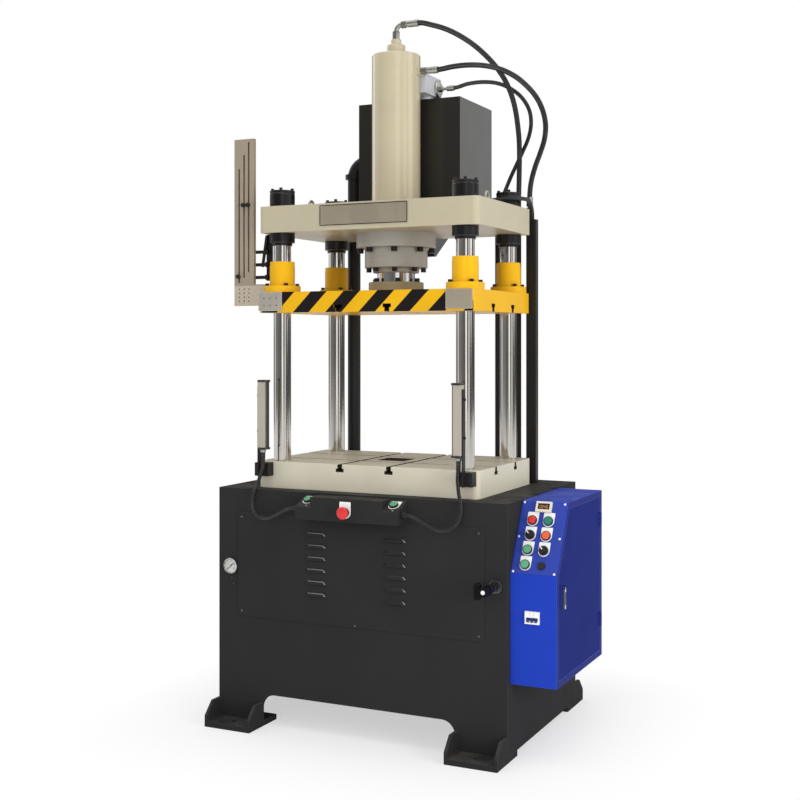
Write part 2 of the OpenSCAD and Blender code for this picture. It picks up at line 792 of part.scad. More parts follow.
// Plated fittings at both ends of every hose, and the bright cap of the prefill valve
module hose_fittings() {
    turn = elbow_z - elbow_bend;
    cap_x = prefill_x1 + 11;
    color("#c9cac8") {
        translate([0, axis_y, port_top]) cylinder(d = 28, h = turn - port_top, $fn = 6);
        translate([elbow_bend, axis_y, turn]) rotate([90, 0, 0]) rotate([0, 0, 90]) rotate_extrude(angle = 90)
            translate([elbow_bend, 0]) circle(d = 17, $fn = 32);
        translate([elbow_bend, axis_y, elbow_z]) rotate([0, 90, 0])
            hose_end(hose_d, 18, 6, elbow_end - elbow_bend - 24);
        translate([barrel_d / 2 + 10, axis_y, side_port_z]) rotate([0, 90, 0])
            hose_end(hose_d, 22, 6, side_end - barrel_d / 2 - 38);
        translate([prefill_x1, prefill_cap_y, prefill_cap_z]) rotate([0, 90, 0]) rotate_extrude()
            polygon([[0, 0], [30, 0], [30, 6], [26, 9], [12, 11], [0, 11]]);
        translate([cap_x, prefill_cap_y, prefill_cap_z]) rotate([0, 90, 0])
            hose_end(pilot_d, 10, 16, pilot_end - cap_x - 26);
        for (i = [0 : 2]) translate(riser_ends[i] - [0, 0, ferrule_l + riser_nut_l])
            hose_end(i == 0 ? pilot_d : hose_d, riser_nut_l, 4, ferrule_l - 4);
    }
}

// Prefill valve: a block fitted to the barrel, with its stub on the tank
module prefill_valve() {
    stub_y = prefill_y1 - 35;
    color("#c5c6cb") difference() {
        union() {
            translate([prefill_x0, prefill_y0, prefill_z])
                cube([prefill_x1 - prefill_x0, prefill_y1 - prefill_y0, prefill_h]);
            translate([(prefill_x0 + prefill_x1) / 2, stub_y, tank_top])
                cylinder(d = 50, h = prefill_z - tank_top + 5);
        }
        translate([0, axis_y, prefill_z - eps])
            cylinder(d = barrel_d + 2 * seat_fit, h = prefill_h + 2 * eps);
    }
}

// Wide rib under the tank's overhang, just clear of the crown's rear
module tank_rib() {
    near = axis_y + plate_d / 2 + move_gap;
    back = tank_y + tank_d;
    seam = crown_top + tank_wall / 2;
    translate([-tank_rib_w / 2, 0, 0]) rotate([90, 0, 90]) linear_extrude(tank_rib_w)
        polygon([[near, seam], [near, crown_z - tank_rib_drop], [near + 16, crown_z - tank_rib_drop],
            [back, crown_top - tank_rib_drop], [back, seam]]);
}

// Sheet-metal oil tank on the crown, with its rib and the hole for the return pipe
module oil_tank() {
    color("#2c2a29") difference() {
        union() {
            translate([-tank_w / 2, tank_y, crown_top]) cube([tank_w, tank_d, tank_h]);
            tank_rib();
            translate(tank_gland) rotate([0, 90, 0])
                cylinder(d = trunk_cable_d + 8, h = tank_gland_l, $fn = 6);
        }
        translate([-tank_w / 2 + tank_wall, tank_y + tank_wall, crown_top + tank_wall])
            cube([tank_w - 2 * tank_wall, tank_d - 2 * tank_wall, tank_h - 2 * tank_wall]);
        translate([-tank_w / 2 - eps, pipe_y, pipe_level]) rotate([0, 90, 0])
            cylinder(d = pipe_d - 8, h = tank_wall + 2 * eps);
    }
}

// Return pipe with its bend and joint, and the three riser pipes, all standing on the cabinet
module oil_pipes() {
    collar = 12;
    color("#1c1b1a") {
        difference() {
            union() {
                translate([pipe_x, pipe_y, cabinet_h])
                    cylinder(d = pipe_d, h = pipe_level - pipe_bend - cabinet_h);
                translate([pipe_x + pipe_bend, pipe_y, pipe_level - pipe_bend]) rotate([90, 0, 0])
                    rotate([0, 0, 90]) rotate_extrude(angle = 90) translate([pipe_bend, 0])
                    circle(d = pipe_d);
                translate([pipe_x + pipe_bend, pipe_y, pipe_level]) rotate([0, 90, 0])
                    cylinder(d = pipe_d, h = -tank_w / 2 - pipe_x - pipe_bend);
                translate([pipe_x, pipe_y, pipe_joint]) cylinder(d = pipe_d + 18, h = 18);
                translate([pipe_x, pipe_y, cabinet_h]) cylinder(d = pipe_d + 22, h = collar);
            }
            translate([pipe_x, pipe_y, cabinet_h - eps]) cylinder(d = pipe_d - 8, h = pipe_joint - cabinet_h);
        }
        for (p = riser_ends) {
            translate([p[0], p[1], cabinet_h])
                cylinder(d = riser_d, h = p[2] - ferrule_l - riser_nut_l - cabinet_h, $fn = 32);
            translate([p[0], p[1], cabinet_h]) cylinder(d = riser_d + 12, h = collar, $fn = 6);
        }
    }
}

// Upright cable trunk, closed at the top by a plate with the cable's hole
module cable_trunk() {
    t = 2;
    color("#1e1c1b") translate([trunk_x, trunk_y, cabinet_h]) difference() {
        cube([trunk_w, trunk_d, trunk_top - cabinet_h]);
        translate([t, t, -eps]) cube([trunk_w - 2 * t, trunk_d - 2 * t, trunk_top - cabinet_h - t + eps]);
    }
}

module hose_top() {
    color("#1b1b1b") from_crown() cord(aimed(hose_top_route, hose_starts[0], hose_ends[0]), hose_d, 10,
        [1, 0, 0], [0, 0, -1]);
}

module hose_side() {
    color("#1b1b1b") from_crown() cord(aimed(hose_side_route, hose_starts[1], hose_ends[1]), hose_d, 10,
        [1, 0, 0], [0, 0, -1]);
}

module hose_prefill() {
    color("#1b1b1b") from_crown() cord(aimed(hose_prefill_route, hose_starts[2], hose_ends[2]), pilot_d, 10,
        [1, 0, 0], [0, 0, -1]);
}

module trunk_cable() {
    color("#1b1b1b") from_crown() cord(aimed(trunk_cable_route, tank_gland + [tank_gland_l, 0, 0] - crown_mid,
        trunk_hole - crown_mid), trunk_cable_d, 8, [1, 0, 0], [0, 0, -1]);
}

// Cable from the left light bar's plug to the console's gland
module light_cable() {
    start = [-light_x, light_y, light_z - light_cap_h - light_plug_l] - [0, front_y, cabinet_h];
    end = [-console_w / 2 - gland_l, gland_y, gland_z_mid] - [0, front_y, cabinet_h];
    color("#1b1b1b") from_cabinet() cord(aimed(light_cable_route, start, end), cable_d, 8, [0, 0, -1],
        [1, 0, 0]);
}

module light_cable_left() {
    light_cable();
}

module light_cable_right() {
    mirror([1, 0, 0]) light_cable();
}

// Steel bar and black block that hold the right light bar on the bed's front
module light_bracket() {
    bar_x = light_x + light_w / 2;
    bar_y = bed_front - bracket_d - bracket_bar_w;
    translate([bar_x - 26, bed_front - bracket_d, bracket_z]) cube([bracket_w, bracket_d, bracket_h]);
    translate([bar_x, bar_y, bracket_z])
        cube([bracket_bar_t, bracket_bar_w, light_z + light_l - 13 - bracket_z]);
    for (z = [light_z + 55, light_z + 175]) translate([bar_x + bracket_bar_t, bar_y + bracket_bar_w / 2, z])
        rotate([0, 90, 0]) cylinder(d = 9, h = 5, $fn = 24);
}

module light_brackets() {
    color("#2a2826") for (m = [0, 1]) mirror([m, 0, 0]) light_bracket();
}

// Housing with end caps, the lens on its inner side, and the cable plug
module light_bar() {
    lens_t = 5;
    cap_w = light_w + lens_t;
    translate([light_x - light_w / 2, light_y - light_d / 2, light_z]) cube([light_w, light_d, light_l]);
    translate([light_x - light_w / 2 - lens_t, light_y - light_d / 2 + 5, light_z])
        cube([lens_t, light_d - 10, light_l]);
    for (z = [light_z - light_cap_h, light_z + light_l])
        translate([light_x - light_w / 2 - lens_t, light_y - light_d / 2 - light_cap_over, z])
            cube([cap_w - move_gap, light_d + 2 * light_cap_over, light_cap_h]);
    translate([light_x, light_y, light_z - light_cap_h - light_plug_l])
        cylinder(d = cable_d + 3, h = light_plug_l);
}

module light_bars() {
    color("#c9c2b2") for (m = [0, 1]) mirror([m, 0, 0]) light_bar();
}

// Outline of the console's end, seen from its right, with the wall drawn in
module console_profile(front, back, inset) {
    polygon([[front_y + eps * inset, console_z + inset], [front_y - console_d + inset, console_z + inset],
        [front_y - console_d + inset, console_z + front - inset],
        [front_y + eps * inset, console_z + back - inset]]);
}

// A slab of the console's outline between two X places
module console_slab(w, front, back, inset) {
    translate([-w / 2 + inset, 0, 0]) rotate([90, 0, 90]) linear_extrude(w - 2 * inset)
        console_profile(front, back, inset);
}

// Folded two-hand console: sloping ends for the buttons and a hood between them
module console() {
    color("#3a3936") difference() {
        union() {
            console_slab(console_w, console_front_h, console_back_h, 0);
            console_slab(hood_w, console_h, console_h, 0);
        }
        console_slab(console_w, console_front_h, console_back_h, console_t);
        console_slab(hood_w, console_h, console_h, console_t);
        for (s = [-1, 1]) on_console(s) translate([0, 0, -30])
            cylinder(d = panel_hole + 2 * move_gap, h = 40);
        on_console_front() translate([0, 0, -10]) cylinder(d = panel_hole + 2 * move_gap, h = 20);
    }
}

// Fixed bezel of a push button or selector
module bezel() {
    tube(bezel_d, button_d + 2 * move_gap, bezel_h);
}

// Bezels on the panel and the console, the plugged hole on the panel, and the console's cable glands
module panel_fittings() {
    color("#2b2b2d") {
        for (c = button_cols, r = button_rows) if (!(c == button_cols[1] && r == button_rows[0]))
            on_panel(c, r) translate([0, 0, panel_t]) bezel();
        on_panel(button_cols[1], button_rows[0]) translate([0, 0, panel_t]) cylinder(d1 = 26, d2 = 22, h = 5);
        for (s = [-1, 1]) on_console(s) bezel();
        on_console_front() tube(bezel_d, panel_hole + 2 * move_gap, 5);
        for (s = [-1, 1]) translate([s * console_w / 2, gland_y, gland_z_mid]) rotate([0, s * 90, 0]) {
            cylinder(d = cable_d + 10, h = 10, $fn = 6);
            cylinder(d = cable_d + 4, h = gland_l);
        }
    }
}

// A push button standing out of its face: cap and stem
module push_button() {
    under = button_rise - 6;
    translate([0, 0, under]) cylinder(d = button_d, h = button_rise - under - 1.5);
    translate([0, 0, button_rise - 1.5]) cylinder(d1 = button_d, d2 = button_d - 4, h = 1.5);
    translate([0, 0, -18]) cylinder(d = panel_hole, h = 18 + under);
}

module palm_button_left() {
    color("#4f9a72") on_console(-1) push_button();
}

module palm_button_right() {
    color("#4f9a72") on_console(1) push_button();
}

// Mushroom head on its stem
module emergency_stop() {
    neck = 15;
    color("#c8282c") on_console_front() {
        translate([0, 0, -18]) cylinder(d = panel_hole, h = 18 + neck);
        translate([0, 0, neck]) rotate_extrude() polygon([[0, 0], [stop_d / 2 - 2, 0], [stop_d / 2, 3],
            [stop_d / 2, 6], [stop_d / 2 - 3, 9], [stop_d / 2 - 8, 11], [0, 12]]);
    }
}

// Gauge case through the cabinet's front, with its recessed dial and spindle
module gauge_case() {
    face = gauge_out - 8;
    rim = gauge_d / 2 + gauge_rim;
    color("#cfcfcb") translate([gauge_x, front_y, gauge_z]) rotate([90, 0, 0]) rotate_extrude()
        polygon([[0, -30], [gauge_d / 2 - 2, -30], [gauge_d / 2 - 2, 0], [rim, 0], [rim, gauge_out - 1],
            [rim - 1, gauge_out], [gauge_d / 2, gauge_out], [gauge_d / 2, face], [1.5, face], [1.5, face + 4],
            [0, face + 4]]);
}

// Needle on the gauge's spindle, at zero
module gauge_needle() {
    color("#1a1a1a") translate([gauge_x, front_y, gauge_z]) rotate([90, 0, 0]) rotate(135)
        translate([0, 0, gauge_out - 7]) difference() {
            linear_extrude(1.2) {
                circle(d = 6);
                polygon([[-1.5, -10], [1.5, -10], [0.5, 20], [-0.5, 20]]);
            }
            translate([0, 0, -eps]) cylinder(d = 3 + 2 * run_fit, h = 4);
        }
}

// Relief valve: hexagon, stem and lock nut on the cabinet's front
module relief_valve() {
    color("#3c3b3a") translate([valve_x, front_y, valve_z]) rotate([90, 0, 0]) {
        cylinder(d = 42, h = 8);
        translate([0, 0, 8]) cylinder(d = 36, h = 18, $fn = 6);
        translate([0, 0, 26]) cylinder(d = valve_stem, h = valve_l - 34);
        translate([0, 0, 30]) cylinder(d = 30, h = 14);
        translate([0, 0, 52]) cylinder(d = 28, h = 10, $fn = 6);
        for (a = [45 : 90 : 360]) rotate(a) translate([17, 0, 8]) cylinder(d = 6, h = 4, $fn = 24);
    }
}

// Hub that turns on the valve's stem, with an upright grip on its left
module relief_knob() {
    hub_z = 70;
    grip_w = 16;
    grip_low = -10;
    grip_high = 32;
    color("#191918") translate([valve_x, front_y - hub_z, valve_z]) rotate([90, 0, 0]) difference() {
        union() {
            cylinder(d = 32, h = valve_l - hub_z - 2);
            translate([0, 0, valve_l - hub_z - 2]) cylinder(d1 = 32, d2 = 28, h = 2);
            translate([-15, 0, 10]) linear_extrude(22) {
                translate([-grip_w / 2, grip_low]) square([grip_w, grip_high - grip_low]);
                for (y = [grip_low, grip_high]) translate([0, y]) circle(d = grip_w);
            }
        }
        translate([0, 0, -eps])
            cylinder(d = valve_stem + 2 * run_fit, h = valve_l - 8 - hub_z + eps + run_fit);
    }
}

// Folded electrical box, open on its right for the door and on its slanted front for the panel
module electric_box() {
    pin_over = 8;
    color("#2f47ad") {
        difference() {
            box_slab(0, box_x, box_right);
            box_slab(box_wall, box_x + box_wall, box_right - box_wall);
            box_slab(door_rim, box_right - 2 * box_wall, box_right + eps);
            on_panel(box_wall + 8, 12) translate([0, 0, -6])
                cube([box_w - 2 * box_wall - 16, panel_l - 24, 8]);
            translate([box_x + breaker_x - breaker_w / 2 - seat_fit, box_front - eps, breaker_z - seat_fit])
                cube([breaker_w + 2 * seat_fit, 8, breaker_h + 2 * seat_fit]);
        }
        for (z = hinge_rows) translate([hinge_x, hinge_y, z]) {
            for (s = [0, 1]) translate([0, 0, s * (hinge_l + pin_over + move_gap) - pin_over]) {
                cylinder(d = hinge_d, h = pin_over, $fn = 32);
                translate([-hinge_d / 2, 0, 0]) cube([hinge_d / 2, hinge_d, pin_over]);
            }
            cylinder(d = hinge_pin, h = hinge_l + move_gap, $fn = 32);
        }
    }
}

// Screwed plate on the slanted front, drilled for the buttons
module panel_plate() {
    color("#3c50b4") difference() {
        on_panel(panel_margin, panel_margin)
            cube([box_w - 2 * panel_margin, panel_l - 2 * panel_margin, panel_t]);
        for (c = button_cols, r = button_rows) if (!(c == button_cols[1] && r == button_rows[0]))
            on_panel(c, r) translate([0, 0, -6]) cylinder(d = panel_hole + 2 * move_gap, h = 12);
    }
}

// Mounting plate inside the box with its contactors, relay and terminal strip
module contactor_plate() {
    base_t = 3;
    base_h = 0.725 * box_h;
    base_d = 0.684 * box_d;
    row = base_d / 5.6;
    color("#c9c9c4") translate([box_x + box_wall, box_front + 0.19 * box_d, box_z + 0.109 * box_h]) {
        cube([base_t, base_d, base_h]);
        translate([base_t, 20, 0]) {
            for (i = [0 : 2]) translate([0, i * row, 0.7 * base_h])
                cube([0.53 * box_w, 0.8 * row, 0.19 * base_h]);
            translate([0, 0, 0.425 * base_h]) cube([0.47 * box_w, 1.5 * row, 0.175 * base_h]);
            translate([0, 2 * row, 0.425 * base_h]) cube([0.4 * box_w, row, 0.2 * base_h]);
            translate([0, 0, 0.1 * base_h]) cube([0.27 * box_w, 3.8 * row, 0.11 * base_h]);
        }
    }
}

// Door on the box's right, with a knuckle on each hinge pin
module box_door() {
    color("#2a3c98") {
        box_slab(door_rim + door_gap, box_right - box_wall, box_right);
        for (z = hinge_rows) translate([hinge_x, hinge_y, z + move_gap / 2]) difference() {
            union() {
                cylinder(d = hinge_d, h = hinge_l, $fn = 32);
                translate([-hinge_d / 2, -hinge_d * 1.5, 0]) cube([hinge_d / 2, hinge_d * 1.5, hinge_l]);
            }
            translate([0, 0, -eps]) cylinder(d = hinge_pin + 2 * run_fit, h = hinge_l + 2 * eps, $fn = 32);
        }
        translate([box_right - eps, lock_y - 9, lock_z - 4]) cube([1.2 + eps, 18, lock_l + 8]);
        for (s = [-1, 1]) translate([box_right, lock_y + s * 7.5 - 1.2, lock_z + lock_l - 11]) difference() {
            cube([11, 2.4, 10]);
            translate([6, -eps, 5]) rotate([-90, 0, 0]) cylinder(d = 3 + 2 * run_fit, h = 5, $fn = 24);
        }
    }
}

// Lever of the door's lock, on a pin at its upper end
module door_handle() {
    color("#8d8d8f") translate([box_right + 6, lock_y, lock_z + lock_l - 6]) {
        translate([-3, -5.8, -lock_l + 10]) cube([6.5, 11.6, lock_l - 8]);
        translate([0, -8.5, 0]) rotate([-90, 0, 0]) cylinder(d = 3, h = 17, $fn = 24);
    }
}

module red_button() {
    color("#cf3a33") on_panel(button_cols[0], button_rows[3]) translate([0, 0, panel_t]) push_button();
}

module teal_button() {
    color("#1f7c6c") on_panel(button_cols[1], button_rows[3]) translate([0, 0, panel_t]) push_button();
}

module orange_button() {
    color("#d8603a") on_panel(button_cols[1], button_rows[2]) translate([0, 0, panel_t]) push_button();
}

module green_button_upper() {
    color("#4ea477") on_panel(button_cols[0], button_rows[1]) translate([0, 0, panel_t]) push_button();
}

module green_button_lower() {
    color("#4ea477") on_panel(button_cols[0], button_rows[0]) translate([0, 0, panel_t]) push_button();
}

// Turning knob of a selector: disc, finger bar and stem
module selector() {
    color("#1c1a1a") {
        translate([0, 0, 5]) cylinder(d = button_d, h = 5);
        translate([0, 0, -18]) cylinder(d = panel_hole, h = 23);
        rotate(45) translate([-3.5, -button_d / 2 + 1, 9]) cube([7, button_d - 2, 9]);
    }
}

module selector_left() {
    on_panel(button_cols[0], button_rows[2]) translate([0, 0, panel_t]) selector();
}

module selector_right() {
    on_panel(button_cols[1], button_rows[1]) translate([0, 0, panel_t]) selector();
}

// Counter with a raised frame and a sunk window
module counter_display() {
    frame = 6;
    color("#d8cfc0") on_panel(display_mid[0] - display_w / 2, display_mid[1] - display_h / 2)
        translate([0, 0, panel_t]) difference() {
            cube([display_w, display_h, 9]);
            translate([frame, frame + 2, 6]) cube([display_w - 2 * frame, display_h - 2 * frame - 2, 9]);
        }
}

// Places on the breaker's front, its middle at the origin and out of the box along Z
module on_breaker() {
    translate([box_x + breaker_x, box_front, breaker_z + breaker_h / 2]) rotate([90, 0, 0]) children();
}

// Three-pole breaker with a sunk channel for the roll and a pocket for each lever
module breaker() {
    out = 8;
    channel = breaker_roll + 1;
    color("#e6e6e4") on_breaker() difference() {
        translate([-breaker_w / 2, -breaker_h / 2, -40]) cube([breaker_w, breaker_h, 40 + out]);
        translate([-breaker_w / 2 + 4, breaker_pin[0] - channel / 2, -10]) cube([breaker_w - 8, channel, 40]);
        for (i = [-1, 0, 1]) translate([i * breaker_pitch - 4.5, breaker_pin[0] - 10, -2]) cube([9, 10, 40]);
        translate([-breaker_w / 2 + 1, breaker_pin[0], breaker_pin[1]]) rotate([0, 90, 0])
            cylinder(d = 4 + 2 * run_fit, h = breaker_w - 2, $fn = 24);
    }
}

// Three levers on one roll, on a pin across the breaker
module breaker_toggle() {
    l = breaker_w - 8 - 2 * move_gap;
    color("#27344f") on_breaker() translate([0, breaker_pin[0], breaker_pin[1]]) {
        rotate([0, 90, 0]) translate([0, 0, -l / 2]) cylinder(d = breaker_roll, h = l, $fn = 32);
        rotate([0, 90, 0]) translate([0, 0, -breaker_w / 2 + 1.5])
            cylinder(d = 4, h = breaker_w - 3, $fn = 24);
        for (i = [-1, 0, 1]) translate([i * breaker_pitch - 4, -8.5, 2]) cube([8, 7, 8]);
    }
}

// Moving platen with T-slots in its underside
module platen() {
    color("#e9b622") difference() {
        translate([0, axis_y, platen_z]) rounded_plate(platen_w, platen_d, platen_t, plate_r / 2);
        translate([0, axis_y, platen_z]) mirror([0, 0, 1]) slot_grid(platen_w, platen_d);
        at_columns() translate([0, 0, platen_z - eps]) cylinder(d = column_d + 2, h = platen_t + 2 * eps);
    }
}

// Four flanged guide bushes that run on the columns, cut flush with the platen's ends
module guide_bushes() {
    inner = column_d / 2 + run_fit;
    color("#efb81c") intersection() {
        at_columns() translate([0, 0, platen_top]) rotate_extrude() polygon([[inner, 0],
            [bush_flange_d / 2, 0], [bush_flange_d / 2, bush_flange_t - 1],
            [bush_flange_d / 2 - 1, bush_flange_t], [bush_d / 2, bush_flange_t], [bush_d / 2, bush_h - 14],
            [bush_d / 2 - 0.8, bush_h - 13.2], [bush_d / 2 - 0.8, bush_h - 1.5], [bush_d / 2 - 2, bush_h],
            [inner, bush_h]]);
        translate([-platen_w / 2, axis_y - platen_d, platen_top]) cube([platen_w, 2 * platen_d, bush_h]);
    }
}

// Screws of the guide bushes and of the rod's flange
module ram_bolts() {
    color("#241c12") {
        at_columns() for (a = [45 : 90 : 360]) rotate(a)
            translate([0, -bush_ring, platen_top + bush_flange_t]) socket_head(14, 9);
        around_axis(6, rod_ring, 30) translate([0, 0, platen_top + rod_flange_t]) socket_head(18, 13);
    }
}

// Piston and rod turned in one piece
module ram() {
    piston_top = barrel_end - barrel_end_t - 15;
    color("#d4d4d6") translate([0, axis_y, 0]) rotate_extrude() polygon([[0, platen_top],
        [rod_d / 2, platen_top], [rod_d / 2, piston_top - piston_h],
        [bore_d / 2 - run_fit, piston_top - piston_h], [bore_d / 2 - run_fit, piston_top - 4],
        [bore_d / 2 - 4, piston_top], [0, piston_top]]);
}

// Flange that ties the rod to the platen
module rod_flange() {
    color("#b9ae98") translate([0, axis_y, platen_top]) rotate_extrude() polygon([[rod_d / 2 + seat_fit, 0],
        [rod_flange_d / 2, 0], [rod_flange_d / 2, rod_flange_t - 2], [rod_flange_d / 2 - 2, rod_flange_t],
        [rod_d / 2 + seat_fit, rod_flange_t]]);
}

// One slot of the board, cut through along Y
module board_cut(x, low, high) {
    translate([x, board_y + eps, 0]) rotate([90, 0, 0]) linear_extrude(board_t + 2 * eps) {
        translate([-board_slot / 2, low]) square([board_slot, high - low]);
        for (z = [low, high]) translate([0, z]) circle(d = board_slot, $fn = 32);
    }
}

// Slotted board, folded into a shallow tray, with its tab on the platen's left end
module stroke_board() {
    foot_l = 46;
    color("#a2937b") difference() {
        union() {
            translate([board_x, board_y - board_t, board_z]) cube([board_w, board_t + tray_d, board_l]);
            translate([board_x, board_y - board_t, board_z]) cube([tab_l, board_t, tab_h]);
            translate([-platen_w / 2 - board_t, board_y - board_t, board_z])
                cube([board_t, foot_l, platen_top - board_z - 4]);
        }
        translate([board_x + tray_wall, board_y, board_z + tray_wall])
            cube([board_w - 2 * tray_wall, tray_d - tray_wall, board_l - 2 * tray_wall]);
        for (i = [0 : 2]) board_cut(dog_x[i], slot_low[i], slot_high[i]);
        for (i = [0 : 2], k = [0 : 3]) translate([dog_x[i] + 1, board_y + eps, board_z + 16 + k * 14])
            rotate([90, 0, 0]) cylinder(d = 5, h = board_t + 2 * eps, $fn = 24);
    }
}

// Trip dog clamped through a slot: knob, shank and square nut behind
module trip_dog(i) {
    side = board_slot - 2 * move_gap;
    color("#1a1918") translate([dog_x[i], board_y, dog_z[i]]) {
        translate([0, -board_t - run_fit, 0]) rotate([90, 0, 0]) cylinder(d = dog_d, h = 11);
        translate([-side / 2, -board_t - 1, -side / 2]) cube([side, board_t + 2, side]);
        translate([-6, run_fit, -6]) cube([12, 5, 12]);
    }
}

module trip_dog_left() {
    trip_dog(0);
}

module trip_dog_middle() {
    trip_dog(1);
}

module trip_dog_right() {
    trip_dog(2);
}

// Bracket below the crown's left end, three proximity switches behind the board, and their conduit
module stroke_sensors() {
    x1 = -plate_w / 2 + 13;
    y0 = board_y + 19;
    drop = 160;
    switch_d = 12;
    color("#1e1b19") {
        translate([x1 - 24, y0 + switch_d / 2, crown_z - drop]) cube([24, 4, drop]);
        translate([x1 - 12, y0 + switch_d / 2, crown_z - 4]) cube([19, 26, 4]);
        for (z = [12, 56, 100]) {
            translate([x1 - 76, y0, crown_z - drop + z]) rotate([0, 90, 0])
                cylinder(d = switch_d, h = 64, $fn = 32);
            translate([x1 - 22, y0 - switch_d / 2, crown_z - drop + z - 9]) cube([8, switch_d, 18]);
        }
        translate([x1 - 36, y0, crown_z - 112]) rotate([0, 9, 0])
            cylinder(d = switch_d - 1, h = 110, $fn = 32);
    }
}

// Oil reservoir on the cabinet's rails, with the motor, the bell housing and the pump on it
module power_unit() {
    unit_x = side_x - cabinet_wall - 10;
    unit_y = rear_y - cabinet_wall - 54 - unit_d;
    oil_h = 0.345 * unit_h;
    shaft_z = rail_top + 0.598 * unit_h;
    motor_d = 0.414 * unit_h;
    motor_l = 0.276 * cabinet_w;
    bell_l = 0.076 * cabinet_w;
    color("#4a5257") {
        translate([-unit_x, unit_y, rail_top]) cube([2 * unit_x, unit_d, oil_h]);
        translate([-motor_l, unit_y + unit_d / 2 - motor_d * 0.44, rail_top + oil_h])
            cube([motor_l * 0.8, motor_d * 0.88, shaft_z - rail_top - oil_h]);
        translate([0, unit_y + unit_d / 2, shaft_z]) rotate([0, 90, 0]) {
            translate([0, 0, -motor_l]) cylinder(d = motor_d, h = motor_l);
            cylinder(d = motor_d * 0.83, h = bell_l);
            translate([0, 0, bell_l]) cylinder(d = motor_d * 0.56, h = bell_l * 1.5);
        }
    }
}

base_cabinet();
floor_feet();
front_cover();
bed_plate();
columns();
crown();
column_nuts();
lifting_eyes();
cylinder_barrel();
cylinder_flange();
gland_ring();
cylinder_bolts();
hose_fittings();
prefill_valve();
oil_tank();
oil_pipes();
cable_trunk();
hose_top();
hose_side();
hose_prefill();
trunk_cable();
light_cable_left();
light_cable_right();
light_brackets();
light_bars();
console();
panel_fittings();
palm_button_left();
palm_button_right();
emergency_stop();
gauge_case();
gauge_needle();
relief_valve();
relief_knob();
electric_box();
panel_plate();
contactor_plate();
box_door();
door_handle();
red_button();
teal_button();
orange_button();
green_button_upper();
green_button_lower();
selector_left();
selector_right();
counter_display();
breaker();
breaker_toggle();
platen();
guide_bushes();
ram_bolts();
ram();
rod_flange();
stroke_board();
trip_dog_left();
trip_dog_middle();
trip_dog_right();
stroke_sensors();
power_unit();
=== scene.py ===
# %% [markdown]
# # Dressing a four-column hydraulic press
# The solids of the press come ready from the imported model, in metres, with +Z up and the operator at -Y.
# This lesson adds what the solids lack: finishes for every surface, the hoses and cables as real tubes, and
# the small pieces a photograph shows, such as legend plates, screws, welds and the gauge's dial. We load the
# frame first. Nothing added later may change the press's size.

# %% Load the frame
import math

import bpy
import numpy as np
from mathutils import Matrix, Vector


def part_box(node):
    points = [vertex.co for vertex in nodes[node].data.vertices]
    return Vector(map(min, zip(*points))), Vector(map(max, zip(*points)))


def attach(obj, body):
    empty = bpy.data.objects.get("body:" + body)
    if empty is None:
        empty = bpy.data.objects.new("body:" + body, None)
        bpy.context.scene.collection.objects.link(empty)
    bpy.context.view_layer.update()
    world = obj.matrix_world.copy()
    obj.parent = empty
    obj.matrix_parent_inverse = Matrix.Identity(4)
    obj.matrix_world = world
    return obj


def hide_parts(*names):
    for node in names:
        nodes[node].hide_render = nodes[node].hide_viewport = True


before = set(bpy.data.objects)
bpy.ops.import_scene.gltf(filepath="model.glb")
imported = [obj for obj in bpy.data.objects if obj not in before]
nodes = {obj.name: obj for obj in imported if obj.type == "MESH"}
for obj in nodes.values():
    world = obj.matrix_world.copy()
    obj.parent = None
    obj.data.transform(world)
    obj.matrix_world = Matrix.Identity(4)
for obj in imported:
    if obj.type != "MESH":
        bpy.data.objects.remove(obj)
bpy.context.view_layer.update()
scene = bpy.context.scene

# %% [markdown]
# ## Where things are
# A reader of this file should never have to guess a place. The corners of the main solids give nearly all
# of them: the cabinet's front and top, the crown's top, the platen, the slanted panel of the control box.

# %% Main places, in metres
MM = 0.001


def low(node):
    """Lowest corner of a node's box, as an array."""
    return np.array(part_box(node)[0])


def high(node):
    """Highest corner of a node's box, as an array."""
    return np.array(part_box(node)[1])


FRONT_Y = low("base_cabinet")[1]
CABINET_TOP = high("base_cabinet")[2]
SIDE_X = high("base_cabinet")[0]
AXIS_Y = (low("crown")[1] + high("crown")[1]) / 2
CROWN_TOP = high("crown")[2]
X_AXIS, Y_AXIS, Z_AXIS = (1, 0, 0), (0, 1, 0), (0, 0, 1)
print("press axis at y = %.3f, crown top at z = %.3f" % (AXIS_Y, CROWN_TOP))

# %% [markdown]
# ## From arrays to a surface
# Every new piece here is a surface worked out as whole arrays. A grid of points P(i, j) becomes a skin of
# quads, and one helper does it for all pieces. A row usually goes round something, so its last point joins
# its first. A plate with a hole also joins its last row to its first, as a torus does. Otherwise flat
# faces close both ends. Like pieces, such as ten screws, are several grids in one mesh. Small shapes are
# drawn in millimetres, as on a sheet of paper, and then set in their place.

